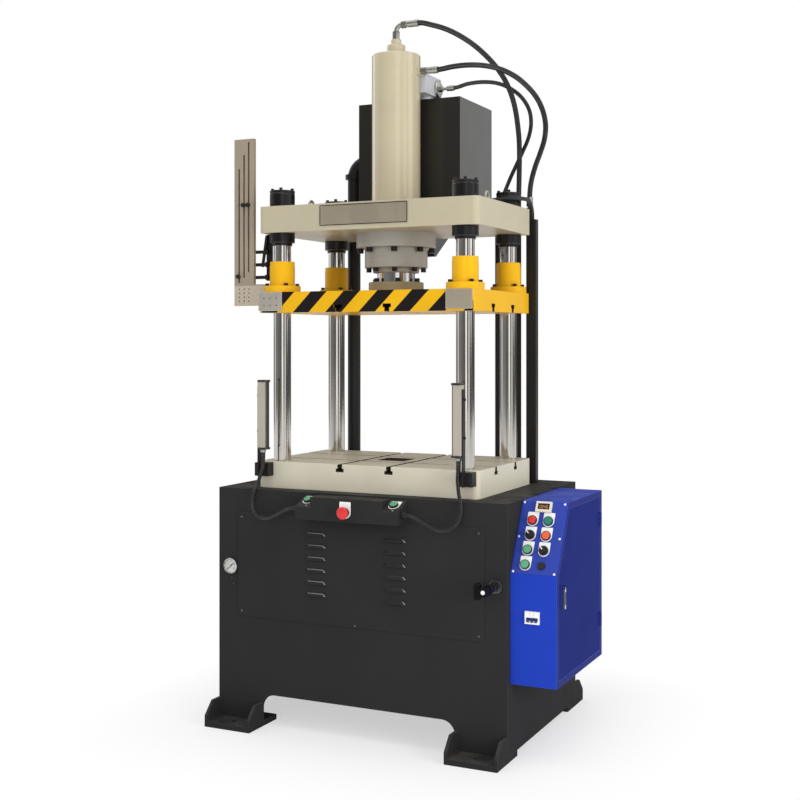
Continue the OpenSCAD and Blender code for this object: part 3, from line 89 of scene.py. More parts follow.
# %% Grids to mesh
def skin(name, grids, material, body=None, ring=True, loop=False, sharp=35):
    """Quads between neighbours of grid[i, j]. In the UV map, u runs along i and v along j, from 0 to 1."""
    points, quads, ends, uv, first = [], [], [], [], 0
    for grid in grids:
        rows, cols = grid.shape[:2]
        down, across = rows - (not loop), cols - (not ring)
        i, j = np.meshgrid(np.arange(down), np.arange(across), indexing="ij")
        below, beside = (i + 1) % rows, (j + 1) % cols
        corners = [i * cols + j, i * cols + beside, below * cols + beside, below * cols + j]
        quads.append((np.stack(corners, -1) + first).reshape(-1, 4))
        u, v = np.stack([i, i, i + 1, i + 1], -1) / down, np.stack([j, j + 1, j + 1, j], -1) / across
        uv.append(np.stack([u, v], -1).reshape(-1, 2))
        if ring and not loop:
            ends.append(list(range(first + cols - 1, first - 1, -1)))
            ends.append(list(range(first + (rows - 1) * cols, first + rows * cols)))
        points.append(grid.reshape(-1, 3))
        first += rows * cols
    mesh = bpy.data.meshes.new(name)
    mesh.from_pydata(np.concatenate(points).tolist(), [], np.concatenate(quads).tolist() + ends)
    side_uv = np.concatenate(uv)
    all_uv = np.zeros((len(mesh.loops), 2))
    all_uv[: len(side_uv)] = side_uv
    mesh.uv_layers.new(name="UVMap").data.foreach_set("uv", all_uv.reshape(-1))
    mesh.polygons.foreach_set("use_smooth", np.ones(len(mesh.polygons), bool))
    mesh.set_sharp_from_angle(angle=math.radians(sharp))
    mesh.materials.append(material)
    mesh.update()
    piece = bpy.data.objects.new(name, mesh)
    scene.collection.objects.link(piece)
    if body:
        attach(piece, body)
    return piece


# %% Flat drawings and turned shapes
def seat(drawing, origin, right, up):
    """A drawing's (x, y, z) in millimetres to space: origin + x right + y up + z (right cross up)."""
    right, up = np.array(right, float), np.array(up, float)
    return np.array(origin) + MM * drawing @ np.stack([right, up, np.cross(right, up)])


def on_front(drawing, at):
    """A drawing set at a place on a face that looks to the operator."""
    return seat(drawing, at, X_AXIS, Z_AXIS)


def raised(rings):
    """Rings of flat points (x, y), each lifted to its own height z: one grid."""
    return np.array([np.concatenate([flat, np.full((len(flat), 1), z)], 1) for flat, z in rings])


def turned(profile, sides=32):
    """Solid of revolution about local z: P(i, t) = (r_i cos t, r_i sin t, z_i) for profile rows (r, z)."""
    r, z = np.array(profile, float).T
    t = np.linspace(0, 2 * np.pi, sides, endpoint=False)
    return np.stack([np.outer(r, np.cos(t)), np.outer(r, np.sin(t)), np.outer(z, np.ones(sides))], -1)


def rounded_box(width, height, radius, steps=6):
    """Four quarter circles, each about a corner of an inner box: (x, y) = corner + r (cos t, sin t)."""
    t = np.radians(np.arange(0, 360, 90)[:, None] + np.linspace(0, 90, steps)[None, :])
    x = np.array([1, -1, -1, 1])[:, None] * (width / 2 - radius) + radius * np.cos(t)
    y = np.array([1, 1, -1, -1])[:, None] * (height / 2 - radius) + radius * np.sin(t)
    return np.stack([x, y], -1).reshape(-1, 2)


def slab(width, height, radius, thick, edge):
    """A flat plate: its outline at the back, again at thick - edge, and drawn in by edge at the face."""
    outer = rounded_box(width, height, radius)
    inner = outer * [1 - 2 * edge / width, 1 - 2 * edge / height]
    return raised([(outer, 0), (outer, thick - edge), (inner, thick)])


def block(x, y, width, height, foot, top, turn=0.0):
    """A small closed box: four corners turned by an angle about their middle, at two heights."""
    corners = np.array([[1, 1], [-1, 1], [-1, -1], [1, -1]]) * [width / 2, height / 2]
    c, s = math.cos(turn), math.sin(turn)
    flat = corners @ np.array([[c, s], [-s, c]]) + [x, y]
    return raised([(flat, foot), (flat, top)])


print("surface helpers ready")

# %% [markdown]
# ## The camera
# The photograph was taken from the operator's right, level, at chest height. A level camera keeps uprights
# parallel, so the press is framed by shifting the lens and not by tilting it. The numbers come from
# fitting straight edges of the press to the picture.

# %% Camera
camera_data = bpy.data.cameras.new("camera")
camera_data.sensor_width = 36
camera_data.lens = 56.24
camera_data.shift_x = -0.0017
camera_data.shift_y = -0.0746
camera_data.clip_end = 60
camera = bpy.data.objects.new("camera", camera_data)
camera.location = (1.8792, -3.929, 1.2963)
camera.rotation_euler = (math.radians(90), 0, math.radians(25.53))
scene.collection.objects.link(camera)
scene.camera = camera
print("camera %.2f m from the press axis" % math.hypot(camera.location.x, camera.location.y - AXIS_Y))

# %% [markdown]
# ## Building materials from nodes
# A finish is more than a colour: paint has orange peel, powder coat has grain, turned steel has fine
# rings. These few helpers keep the node code short. `add` makes one node and wires its inputs in a single
# call. Colours are written as they look on a screen, and turned into the linear values that light works
# with.

# %% Node helpers
def tint(red, green, blue):
    """A screen colour, 0 to 255, as linear RGBA."""
    c = np.array([red, green, blue]) / 255
    linear = np.where(c <= 0.04045, c / 12.92, ((c + 0.055) / 1.055) ** 2.4)
    return (*linear.tolist(), 1.0)


def toned(colour, factor, lift=0.0):
    """A linear colour made darker or paler."""
    return tuple(min(1.0, c * factor + lift) for c in colour[:3]) + (1.0,)


def add(tree, kind, inputs=None, **settings):
    """One node: settings are its properties, inputs are values or sockets to link."""
    made = tree.nodes.new(kind)
    for key, value in settings.items():
        setattr(made, key, value)
    for key, value in (inputs or {}).items():
        if isinstance(value, bpy.types.NodeSocket):
            tree.links.new(value, made.inputs[key])
        else:
            made.inputs[key].default_value = value
    return made


def maths(tree, operation, a, b=0.0):
    """One Math node's result."""
    return add(tree, "ShaderNodeMath", {0: a, 1: b}, operation=operation).outputs[0]


def vector(tree, operation, a, b=(0, 0, 0)):
    """One Vector Math node's two results, Vector and Value."""
    return add(tree, "ShaderNodeVectorMath", {0: a, 1: b}, operation=operation).outputs


def mix(tree, factor, a, b):
    """Blend of two colours."""
    return add(tree, "ShaderNodeMix", {0: factor, 6: a, 7: b}, data_type="RGBA").outputs[2]


def split(tree, arrow):
    """The X, Y and Z of a vector."""
    return add(tree, "ShaderNodeSeparateXYZ", {0: arrow}).outputs


def start(name, **sockets):
    """A new material with its tree, shader and object coordinates. sockets set the shader's values."""
    material = bpy.data.materials.new(name)
    material.use_nodes = True
    tree = material.node_tree
    shader = tree.nodes["Principled BSDF"]
    for key, value in sockets.items():
        shader.inputs[key.replace("_", " ")].default_value = value
    place = add(tree, "ShaderNodeTexCoord").outputs["Object"]
    return material, tree, shader, place


# %% Noise, ranges and edges
def noise(tree, place, scale, detail=3.0, rough=0.5):
    """Cloudy noise from 0 to 1."""
    return add(tree, "ShaderNodeTexNoise",
               {"Vector": place, "Scale": scale, "Detail": detail, "Roughness": rough}).outputs["Fac"]


def spread(tree, value, low_in, high_in, low_out=0.0, high_out=1.0):
    """Map a range of values to another, clamped."""
    return add(tree, "ShaderNodeMapRange", {"Value": value, "From Min": low_in, "From Max": high_in,
                                            "To Min": low_out, "To Max": high_out}).outputs["Result"]


def stretched(tree, place, scale):
    """Coordinates scaled along each axis, for grain that runs one way."""
    return add(tree, "ShaderNodeMapping", {"Vector": place, "Scale": scale}).outputs["Vector"]


def facing(tree):
    """The surface's own normal, as X, Y and Z."""
    return split(tree, add(tree, "ShaderNodeNewGeometry").outputs["Normal"])


def soft_edges(tree, radius):
    """Normals rounded over sharp corners, and a mask of those corners."""
    round_normal = add(tree, "ShaderNodeBevel", {"Radius": radius}, samples=6).outputs["Normal"]
    flat_normal = add(tree, "ShaderNodeNewGeometry").outputs["Normal"]
    agree = vector(tree, "DOT_PRODUCT", round_normal, flat_normal)["Value"]
    return round_normal, spread(tree, agree, 0.995, 0.93)


def bump(tree, shader, height, strength, distance, normal=None):
    """Relief on the shader's normal."""
    inputs = {"Height": height, "Strength": strength, "Distance": distance}
    if normal is not None:
        inputs["Normal"] = normal
    tree.links.new(add(tree, "ShaderNodeBump", inputs).outputs["Normal"], shader.inputs["Normal"])


print("node helpers ready")

# %% [markdown]
# ## Painted sheet and plate
# Most of the press is painted. One recipe covers all paints: a base colour with faint clouds, a grain that is
# coarse for powder coat and long-waved for enamel, corners painted paler, partly because paint thins there
# and partly as a painted highlight, and dust that settles on faces that look up. Only the numbers change from
# paint to paint.

# %% Paint
DUST = tint(176, 170, 158)


def paint(name, colour, rough, grain, relief, corner=0.35, clouds=0.12, dust=0.0, coat=0.0, edge=1.6 * MM,
          specular=0.5, pattern=None):
    """Paint with clouds, grain, paler corners (thin paint and a painted highlight) and dust. pattern(tree,
    place, base) may change the base.
    """
    material, tree, shader, place = start(name, Coat_Weight=coat, Coat_Roughness=0.12,
                                          Specular_IOR_Level=specular)
    cloud = noise(tree, place, 3.5, 5.0, 0.6)
    base = mix(tree, spread(tree, cloud, 0.3, 0.7), toned(colour, 1 - clouds), colour)
    if pattern:
        base = pattern(tree, place, base)
    normal, corners = soft_edges(tree, edge)
    # Corners painted paler: partly paint worn thin there, partly a painted highlight.
    base = mix(tree, maths(tree, "MULTIPLY", corners, corner), base, toned(colour, 1.6, 0.05))
    if dust:
        settled = maths(tree, "MULTIPLY", spread(tree, facing(tree)["Z"], 0.5, 1.0, 0.0, dust),
                        spread(tree, noise(tree, place, 14, 6), 0.3, 0.8))
        base = mix(tree, settled, base, DUST)
    tree.links.new(base, shader.inputs["Base Color"])
    gloss = spread(tree, noise(tree, place, 9, 4), 0.25, 0.75, rough * 0.85, rough * 1.15)
    tree.links.new(gloss, shader.inputs["Roughness"])
    bump(tree, shader, noise(tree, place, grain, 2.0), relief, 0.3 * MM, normal)
    return material


# %% Plain paints
# Colour, roughness, grains per metre and their relief, then what else differs.
# The first colour is the box's blue made darker: painted shade for the door and the box's right side.
SHADED_BLUE, SIGNAL_YELLOW = tint(24, 36, 106), tint(226, 172, 16)
charcoal = paint("charcoal_powder_coat", tint(47, 47, 48), 0.45, 900, 0.25, dust=0.14, specular=0.004)
# The crown's beige is the bed's enamel made darker: painted shade on the crown.
crown_shaded_beige = paint("crown_enamel", tint(180, 172, 147), 0.34, 160, 0.10, dust=0.05, edge=2.5 * MM,
                    specular=0.3)
cylinder_beige = paint("cylinder_enamel", tint(188, 177, 149), 0.24, 140, 0.10, coat=0.6, specular=0.4)
# The flanges' light grey made darker: painted shade under the crown.
flange_shaded_grey = paint("flange_enamel", tint(162, 160, 154), 0.36, 240, 0.15, specular=0.4)
rod_olive = paint("rod_flange_enamel", tint(158, 145, 112), 0.38, 240, 0.15, specular=0.3)
gloss_black = paint("tank_enamel", tint(36, 34, 30), 0.2, 90, 0.10, coat=0.3, specular=0.3)
satin_black = paint("satin_black", tint(30, 28, 27), 0.38, 300, 0.15, specular=0.25)
panel_blue = paint("panel_enamel", tint(50, 68, 160), 0.34, 260, 0.12, corner=0.5, specular=0.1)
# The door looks to the right: its darker blue is painted shade.
door_shaded_blue = paint("door_enamel", SHADED_BLUE, 0.32, 220, 0.12, corner=0.9, specular=0.004)
prefill_grey = paint("prefill_paint", tint(188, 189, 195), 0.35, 200, 0.12, specular=0.4)
motor_grey = paint("motor_paint", tint(84, 94, 100), 0.45, 250, 0.2)
yellow = paint("yellow_enamel", SIGNAL_YELLOW, 0.32, 150, 0.10, corner=0.2, specular=0.2)
print("plain paints made")

# %% [markdown]
# Some paints change their colour from place to place. The platen's front wears hazard stripes, which lean to
# the right: x minus height, cut into equal bands. The slots of bed and platen get painted shade. The control
# box's right side gets painted shade, the darker blue of its door. The stroke board ends below in a paler
# plate.
# All of this belongs to the paint, not to the mesh.

# %% Stripes, side and board
STRIPE_PERIOD = 0.1244
STRIPE_SHIFT = 0.0357
BED_CORNER, PLATEN_CORNER = 20.5 * MM, 10.5 * MM
BOARD_PLATE_TOP = low("stroke_board")[2] + 70 * MM


def shaded_within(tree, place, base, node, corner, shade_tone):
    """Painted shade on faces more than 1 mm within a node's box, such as slots, but not on its round corners.
    """
    middle, half = (low(node) + high(node)) / 2, (high(node) - low(node)) / 2
    offset = vector(tree, "SUBTRACT", place, tuple(middle))["Vector"]
    apart = vector(tree, "ABSOLUTE", offset)["Vector"]
    depth = split(tree, vector(tree, "SUBTRACT", tuple(half), apart)["Vector"])
    least = maths(tree, "MINIMUM", maths(tree, "MINIMUM", depth["X"], depth["Y"]), depth["Z"])
    past_corner = maths(tree, "GREATER_THAN", maths(tree, "MAXIMUM", depth["X"], depth["Y"]), corner)
    within = maths(tree, "GREATER_THAN", least, 1 * MM)
    return mix(tree, maths(tree, "MULTIPLY", within, past_corner), base, shade_tone)


def bed_slot_shade(tree, place, base):
    """Painted shade in the bed's slots and opening."""
    return shaded_within(tree, place, base, "bed_plate", BED_CORNER, tint(58, 54, 44))


def hazard(tree, place, base):
    """Black where (x - height + shift) / period has a fraction under one half, on the operator's face; then
    painted shade in the slots.
    """
    axes = split(tree, place)
    lean = maths(tree, "ADD", maths(tree, "SUBTRACT", axes["X"], axes["Z"]), STRIPE_SHIFT)
    phase = maths(tree, "FRACT", maths(tree, "DIVIDE", lean, STRIPE_PERIOD))
    band = maths(tree, "MULTIPLY", spread(tree, phase, 0.0, 0.01), spread(tree, phase, 0.5, 0.49))
    front = maths(tree, "LESS_THAN", facing(tree)["Y"], -0.7)
    base = mix(tree, maths(tree, "MULTIPLY", band, front), base, tint(24, 20, 20))
    return shaded_within(tree, place, base, "platen", PLATEN_CORNER, tint(40, 32, 20))


def side_shade(tree, place, base):
    """Painted shade: the door's darker blue on faces that look to the right."""
    return mix(tree, spread(tree, facing(tree)["X"], 0.4, 0.7), base, SHADED_BLUE)


def board_foot(tree, place, base):
    """A paler plate over the lowest 70 mm."""
    foot = maths(tree, "LESS_THAN", split(tree, place)["Z"], BOARD_PLATE_TOP)
    return mix(tree, foot, base, tint(178, 167, 150))


# The platen and the bed get painted shade in their slots.
striped = paint("striped_enamel", SIGNAL_YELLOW, 0.32, 150, 0.10, corner=0, specular=0.2, pattern=hazard)
beige = paint("beige_enamel", tint(207, 201, 181), 0.34, 160, 0.10, dust=0.05, edge=2.5 * MM, specular=0.3,
              pattern=bed_slot_shade)
# The box's blue, with painted shade on faces that look to the right.
blue = paint("blue_enamel", tint(36, 64, 178), 0.3, 220, 0.12, corner=0.9, dust=0.2, specular=0.01,
             pattern=side_shade)
board_grey = paint("board_paint", tint(150, 138, 120), 0.36, 300, 0.12, corner=0.2, pattern=board_foot)
print("hazard stripes every %.0f mm" % (STRIPE_PERIOD / MM))

# %% [markdown]
# ## Bare metal
# The columns and the ram are hard chrome, ground along their round and then run in: bright, with very fine
# rings and a few lengthwise streaks of oil. Zinc plate is duller and slightly cloudy. Black oxide is dark,
# but still metal, so its highlights stay.

# %% Metal
def metal(name, colour, rough, marks, relief, streak=0.0, edge=0.8 * MM):
    """Metal with a cloudy tone, so many fine marks per metre along each axis, duller streaks along z, and
    edges painted pale as a painted highlight.
    """
    material, tree, shader, place = start(name, Metallic=1.0)
    normal, corners = soft_edges(tree, edge)
    base = mix(tree, spread(tree, noise(tree, place, 6, 4), 0.3, 0.7), toned(colour, 0.82), colour)
    # Edges painted pale grey: a painted highlight.
    base = mix(tree, maths(tree, "MULTIPLY", corners, 0.4), base, tint(225, 225, 225))
    tree.links.new(base, shader.inputs["Base Color"])
    smear = noise(tree, stretched(tree, place, (60, 60, 1.5)), 1.0, 4)
    tree.links.new(spread(tree, smear, 0.35, 0.75, rough, rough + streak), shader.inputs["Roughness"])
    bump(tree, shader, noise(tree, stretched(tree, place, marks), 1.0, 2), relief, 0.05 * MM, normal)
    return material


# %% Kinds of metal
# Colour, roughness, marks per metre along x, y and z, their relief, then streaks.
chrome = metal("hard_chrome", tint(206, 202, 196), 0.06, (8, 8, 2400), 0.10, streak=0.10)
rod_steel = metal("ground_rod", tint(205, 204, 202), 0.12, (8, 8, 1800), 0.15, streak=0.12)
zinc = metal("zinc_plate", tint(200, 199, 192), 0.26, (300, 300, 300), 0.2, streak=0.12)
oxide = metal("black_oxide", tint(62, 61, 62), 0.34, (200, 200, 900), 0.25, streak=0.1)
dark_plate = metal("dark_plate", tint(104, 104, 104), 0.32, (300, 300, 300), 0.25, streak=0.1)
etched = metal("etched_plate", tint(228, 215, 192), 0.42, (500, 500, 30), 0.2, streak=0.1)
plain_plate = metal("plain_plate", tint(240, 232, 220), 0.4, (500, 500, 30), 0.2, streak=0.1)
print("metals made")

# %% [markdown]
# ## Plastics
# Buttons are moulded: a slight sheen, a fine grain and small changes of tone. A painted highlight, a paler
# rim where the corner rounds off, is what tells the eye that a cap is plastic and not paint.

# %% Plastic
def plastic(name, colour, rough=0.3, grain=1200, relief=0.15, edge=0.8 * MM, specular=0.5):
    """Moulded plastic: even tone, fine grain, soft rims painted paler as a painted highlight."""
    material, tree, shader, place = start(name, IOR=1.49, Specular_IOR_Level=specular)
    normal, corners = soft_edges(tree, edge)
    # Paler rims: a painted highlight.
    base = mix(tree, maths(tree, "MULTIPLY", corners, 0.5), colour, toned(colour, 1.25, 0.02))
    base = mix(tree, spread(tree, noise(tree, place, 40, 3), 0.4, 0.7, 0.0, 0.5), base, toned(colour, 0.9))
    tree.links.new(base, shader.inputs["Base Color"])
    tree.links.new(spread(tree, noise(tree, place, 60, 2), 0.3, 0.7, rough * 0.85, rough * 1.2),
                   shader.inputs["Roughness"])
    bump(tree, shader, noise(tree, place, grain, 2), relief, 0.1 * MM, normal)
    return material


# %% Kinds of plastic
# Colour, then roughness where it isn't the usual one.
red = plastic("red_plastic", tint(208, 42, 44))
green = plastic("green_plastic", tint(86, 160, 122))
teal = plastic("teal_plastic", tint(24, 118, 104))
orange = plastic("orange_plastic", tint(218, 92, 54))
black_plastic = plastic("black_plastic", tint(30, 28, 28), 0.36)
knob_plastic = plastic("knob_plastic", tint(17, 16, 16), 0.4, specular=0.1)
white_plastic = plastic("white_plastic", tint(234, 234, 232), 0.35)
cream_plastic = plastic("cream_plastic", tint(216, 207, 190), 0.4)
navy_plastic = plastic("navy_plastic", tint(38, 54, 112), 0.3)
amber_plastic = plastic("amber_figures", tint(226, 150, 40), 0.4)
dial_paper = plastic("dial_paper", tint(232, 232, 228), 0.6)
print("plastics made")

# %% [markdown]
# The light bars are one solid each, but three finishes: a cream housing, black end caps with the plug
# below, and a dark lens on the inner side. Their own coordinates tell the three apart, so one material can
# do it.

# %% Light bar finish
LIGHT_CAP = 7 * MM
LIGHT_LONG = 220 * MM
LIGHT_INNER = 343 * MM
LIGHT_TOP = high("light_bars")[2] - LIGHT_CAP


def light_zones(tree, place, base):
    """Black above and below the housing, and where |x| is less than the housing's inner face."""
    axes = split(tree, place)
    top = maths(tree, "GREATER_THAN", axes["Z"], LIGHT_TOP - 0.2 * MM)
    foot = maths(tree, "LESS_THAN", axes["Z"], LIGHT_TOP - LIGHT_LONG + 0.1 * MM)
    lens = maths(tree, "LESS_THAN", maths(tree, "ABSOLUTE", axes["X"]), LIGHT_INNER - 0.2 * MM)
    dark = maths(tree, "MAXIMUM", maths(tree, "MAXIMUM", top, foot), lens)
    return mix(tree, dark, base, tint(30, 29, 30))


light_finish = paint("light_bar_finish", tint(168, 161, 148), 0.32, 500, 0.1, pattern=light_zones)
print("light bar finish made")

# %% [markdown]
# ## Hoses and cables
# A hose is a fixed length of something springy. Its route is a short list of points, the same ones that the
# solids follow, given from the middle of the crown's top for the hoses and from the cabinet's front top edge
# for the light bars' cables. A Catmull-Rom curve passes through every point and leaves each fitting straight,
# and a ring of points carried along it gives the tube.

# %% Routes, in millimetres
HOSE_TOP = [[85, 0, 632], [135, 3, 620], [185, 14, 602], [230, 32, 577], [270, 54, 547], [303, 82, 513],
            [330, 111, 476], [349, 141, 436], [360, 170, 393], [364, 198, 347], [363, 224, 299],
            [360, 247, 251], [355, 265, 201], [350, 277, 149], [347, 282, 95], [346, 282, 41],
            [346, 282, -13]]
HOSE_SIDE = [[158, 0, 465], [212, 4, 471], [264, 17, 474], [314, 37, 471], [360, 64, 460],
             [400, 94, 439], [432, 125, 409], [456, 157, 373], [468, 189, 331], [468, 218, 286],
             [454, 245, 241], [430, 268, 197], [405, 286, 152], [387, 297, 102], [380, 302, 50]]
HOSE_PREFILL = [[165, 125, 425], [212, 136, 437], [261, 153, 442], [308, 172, 437], [348, 197, 419],
                [382, 217, 388], [403, 234, 345], [402, 254, 299], [384, 276, 255], [356, 296, 213],
                [332, 301, 171], [311, 298, 127], [293, 292, 81], [277, 286, 34], [266, 282, -13]]
TRUNK_CABLE = [[205, 125, 19], [228, 125, 20], [252, 125, 21], [276, 125, 23], [300, 125, 25],
               [324, 125, 27], [345, 128, 28.5], [364, 136, 30], [380, 148, 31], [393, 165, 31.7],
               [400.5, 184.5, 32], [403, 207, 32], [403, 229, 29], [402.5, 247.5, 20],
               [401.5, 262, 5.5], [400.5, 271, -12], [400, 274, -32]]
LIGHT_CABLE = [[-357, 12, 113], [-357, 10, 90], [-357, 5, 67], [-361, -1, 45], [-366, -7, 24],
               [-373, -12, 2], [-378, -17, -20], [-378, -22, -43], [-371, -27, -64], [-356, -31, -81],
               [-335, -34, -90], [-313, -37, -91], [-290, -39, -84], [-269, -40, -74],
               [-248, -41, -63.5], [-227, -41, -53.5], [-205, -41, -49]]
FROM_CROWN = np.array([0, AXIS_Y, CROWN_TOP])
FROM_CABINET = np.array([0, FRONT_Y, CABINET_TOP])
print("five routes, one of them used on both sides")


# %% Smooth curve and tube
def smooth_route(points, leave, arrive, steps=10):
    """Catmull-Rom curve: each span blends four neighbours with cubic weights. Ghost points set the ends."""
    p = np.array(points, float)
    first = p[1] - 2 * np.linalg.norm(p[1] - p[0]) * np.array(leave)
    last = p[-2] + 2 * np.linalg.norm(p[-1] - p[-2]) * np.array(arrive)
    p = np.concatenate([[first], p, [last]])
    t = np.linspace(0, 1, steps, endpoint=False)[None, :, None]
    a, b, c, d = p[:-3, None], p[1:-2, None], p[2:-1, None], p[3:, None]
    spans = 0.5 * (2 * b + (c - a) * t + (2 * a - 5 * b + 4 * c - d) * t**2 + (3 * b - a - 3 * c + d) * t**3)
    return np.concatenate([spans.reshape(-1, 3), p[-2:-1]])


def tube(path, radius, leave, arrive, sides=20, across=Y_AXIS):
    """Rings square to the path: centre + r (cos t side + sin t lift), with side = tangent cross across."""
    tangent = np.gradient(path, axis=0)
    tangent[0], tangent[-1] = leave, arrive
    tangent /= np.linalg.norm(tangent, axis=1, keepdims=True)
    side = np.cross(tangent, across)
    side /= np.linalg.norm(side, axis=1, keepdims=True)
    lift = np.cross(tangent, side)
    t = np.linspace(0, 2 * np.pi, sides, endpoint=False)[None, :, None]
    reach = np.broadcast_to(radius, len(path))[:, None, None]
    return path[:, None] + reach * (np.cos(t) * side[:, None] + np.sin(t) * lift[:, None])


# %% Hose and cable finishes
def rubber(name, colour, rough, wraps, relief, stripe=None):
    """Rubber cover: wrapped-cloth rings along the tube's u, a printed line round its v, dull and dusty."""
    material, tree, shader, place = start(name)
    uv = split(tree, add(tree, "ShaderNodeTexCoord").outputs["UV"])
    dust = spread(tree, noise(tree, place, 30, 5), 0.45, 0.8, 0.0, 0.35)
    base = mix(tree, dust, colour, tint(72, 70, 68))
    if stripe:
        beside = maths(tree, "ABSOLUTE", maths(tree, "SUBTRACT", uv["Y"], 0.3))
        line = maths(tree, "LESS_THAN", beside, 0.022)
        base = mix(tree, maths(tree, "MULTIPLY", line, 0.5), base, stripe)
    tree.links.new(base, shader.inputs["Base Color"])
    tree.links.new(spread(tree, noise(tree, place, 50, 3), 0.3, 0.7, rough - 0.08, rough + 0.1),
                   shader.inputs["Roughness"])
    spiral = maths(tree, "ADD", maths(tree, "MULTIPLY", uv["X"], wraps), uv["Y"])
    weave = maths(tree, "SINE", maths(tree, "MULTIPLY", spiral, 2 * math.pi))
    bump(tree, shader, maths(tree, "ADD", weave, noise(tree, place, 900, 2)), relief, 0.25 * MM)
    return material


hose_rubber = rubber("hose_cover", tint(22, 22, 23), 0.5, 260, 0.35, stripe=tint(96, 94, 90))
cable_rubber = rubber("cable_jacket", tint(24, 23, 22), 0.42, 1, 0.12)
print("hose and cable covers made")

# %% The six cords
RIGHT, LEFT, DOWN = (1, 0, 0), (-1, 0, 0), (0, 0, -1)
HOSE, PREFILL_HOSE, TRUNK_CORD, LIGHT_CORD = 18, 14, 14, 12
routes = {}


def run_cord(node, points, origin, leave, arrive, diameter, material):
    """One cord: the tube that replaces its plain solid."""
    path = smooth_route(points, leave, arrive) * MM + origin
    piece = skin(node + "_tube", [tube(path, diameter / 2, leave, arrive)], material, "base")
    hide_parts(node)
    routes[node] = path


mirrored = [[-x, y, z] for x, y, z in LIGHT_CABLE]
run_cord("hose_top", HOSE_TOP, FROM_CROWN, RIGHT, DOWN, HOSE * MM, hose_rubber)
run_cord("hose_side", HOSE_SIDE, FROM_CROWN, RIGHT, DOWN, HOSE * MM, hose_rubber)
run_cord("hose_prefill", HOSE_PREFILL, FROM_CROWN, RIGHT, DOWN, PREFILL_HOSE * MM, hose_rubber)
run_cord("trunk_cable", TRUNK_CABLE, FROM_CROWN, RIGHT, DOWN, TRUNK_CORD * MM, cable_rubber)
run_cord("light_cable_left", LIGHT_CABLE, FROM_CABINET, DOWN, RIGHT, LIGHT_CORD * MM, cable_rubber)
run_cord("light_cable_right", mirrored, FROM_CABINET, DOWN, LEFT, LIGHT_CORD * MM, cable_rubber)

# %% [markdown]
# ## Finishes for the solids
# Each solid keeps its shape and only takes a finish. The table below is the paint list of the press.

# %% Assign the finishes
FINISHES = {
    charcoal: ["base_cabinet", "floor_feet", "front_cover", "console"],
    beige: ["bed_plate"],
    crown_shaded_beige: ["crown"],
    cylinder_beige: ["cylinder_barrel"],
    flange_shaded_grey: ["cylinder_flange", "gland_ring"],
    rod_olive: ["rod_flange"],
    chrome: ["columns"],
    rod_steel: ["ram"],
    oxide: ["column_nuts", "cylinder_bolts", "ram_bolts"],
    zinc: ["lifting_eyes", "hose_fittings", "gauge_case", "contactor_plate", "door_handle"],
    prefill_grey: ["prefill_valve"],
    gloss_black: ["oil_tank"],
    satin_black: ["oil_pipes", "cable_trunk", "light_brackets", "stroke_sensors"],
    light_finish: ["light_bars"],
    black_plastic: ["panel_fittings", "selector_left", "selector_right", "trip_dog_left", "trip_dog_middle",
                    "trip_dog_right"],
    knob_plastic: ["gauge_needle"],
    green: ["palm_button_left", "palm_button_right", "green_button_upper", "green_button_lower"],
    red: ["emergency_stop", "red_button"],
    teal: ["teal_button"],
    orange: ["orange_button"],
    dark_plate: ["relief_valve"],
    blue: ["electric_box"],
    door_shaded_blue: ["box_door"],
    panel_blue: ["panel_plate"],
    cream_plastic: ["counter_display"],
    white_plastic: ["breaker"],
    navy_plastic: ["breaker_toggle"],
    striped: ["platen"],
    yellow: ["guide_bushes"],
    board_grey: ["stroke_board"],
    motor_grey: ["power_unit"],
}
for finish, names in FINISHES.items():
    for name in names:
        nodes[name].data.materials.clear()
        nodes[name].data.materials.append(finish)
print("finishes:", len(FINISHES))

# %% [markdown]
# ## Ends of the hoses and cables
# A hose is held by a ferrule, a sleeve that a press has squeezed on in rings. The light bars' cables leave
# through a bright nut and a ribbed boot, which keeps the bend away from the plug. A ring is a turned
# profile closed on itself, and the boot is the cable's own tube with a radius that tapers and ripples.

# %% Ferrule rings, plug nuts and boots
def hoop(inner, outer, width, chamfer):
    """A turned ring: inner edge, chamfer, outer wall, chamfer, inner edge again."""
    return turned([(inner, 0), (outer - chamfer, 0), (outer, chamfer), (outer, width - chamfer),
                   (outer - chamfer, width), (inner, width)], 28)


FERRULE_WALL = 2.5
ferrule_hoops = []
for node, hose in (("hose_top", HOSE), ("hose_side", HOSE), ("hose_prefill", PREFILL_HOSE)):
    sleeve = hose / 2 + FERRULE_WALL
    ring = hoop(sleeve - 0.5, sleeve + 0.7, width=3, chamfer=0.6)
    for back in (7, 12, 17):
        ferrule_hoops.append(seat(ring, routes[node][0] - [back * MM, 0, 0], Y_AXIS, Z_AXIS))
        ferrule_hoops.append(seat(ring, routes[node][-1] - [0, 0, (back - 3) * MM], Y_AXIS, X_AXIS))
skin("ferrule_rings", ferrule_hoops, zinc, "base", loop=True)

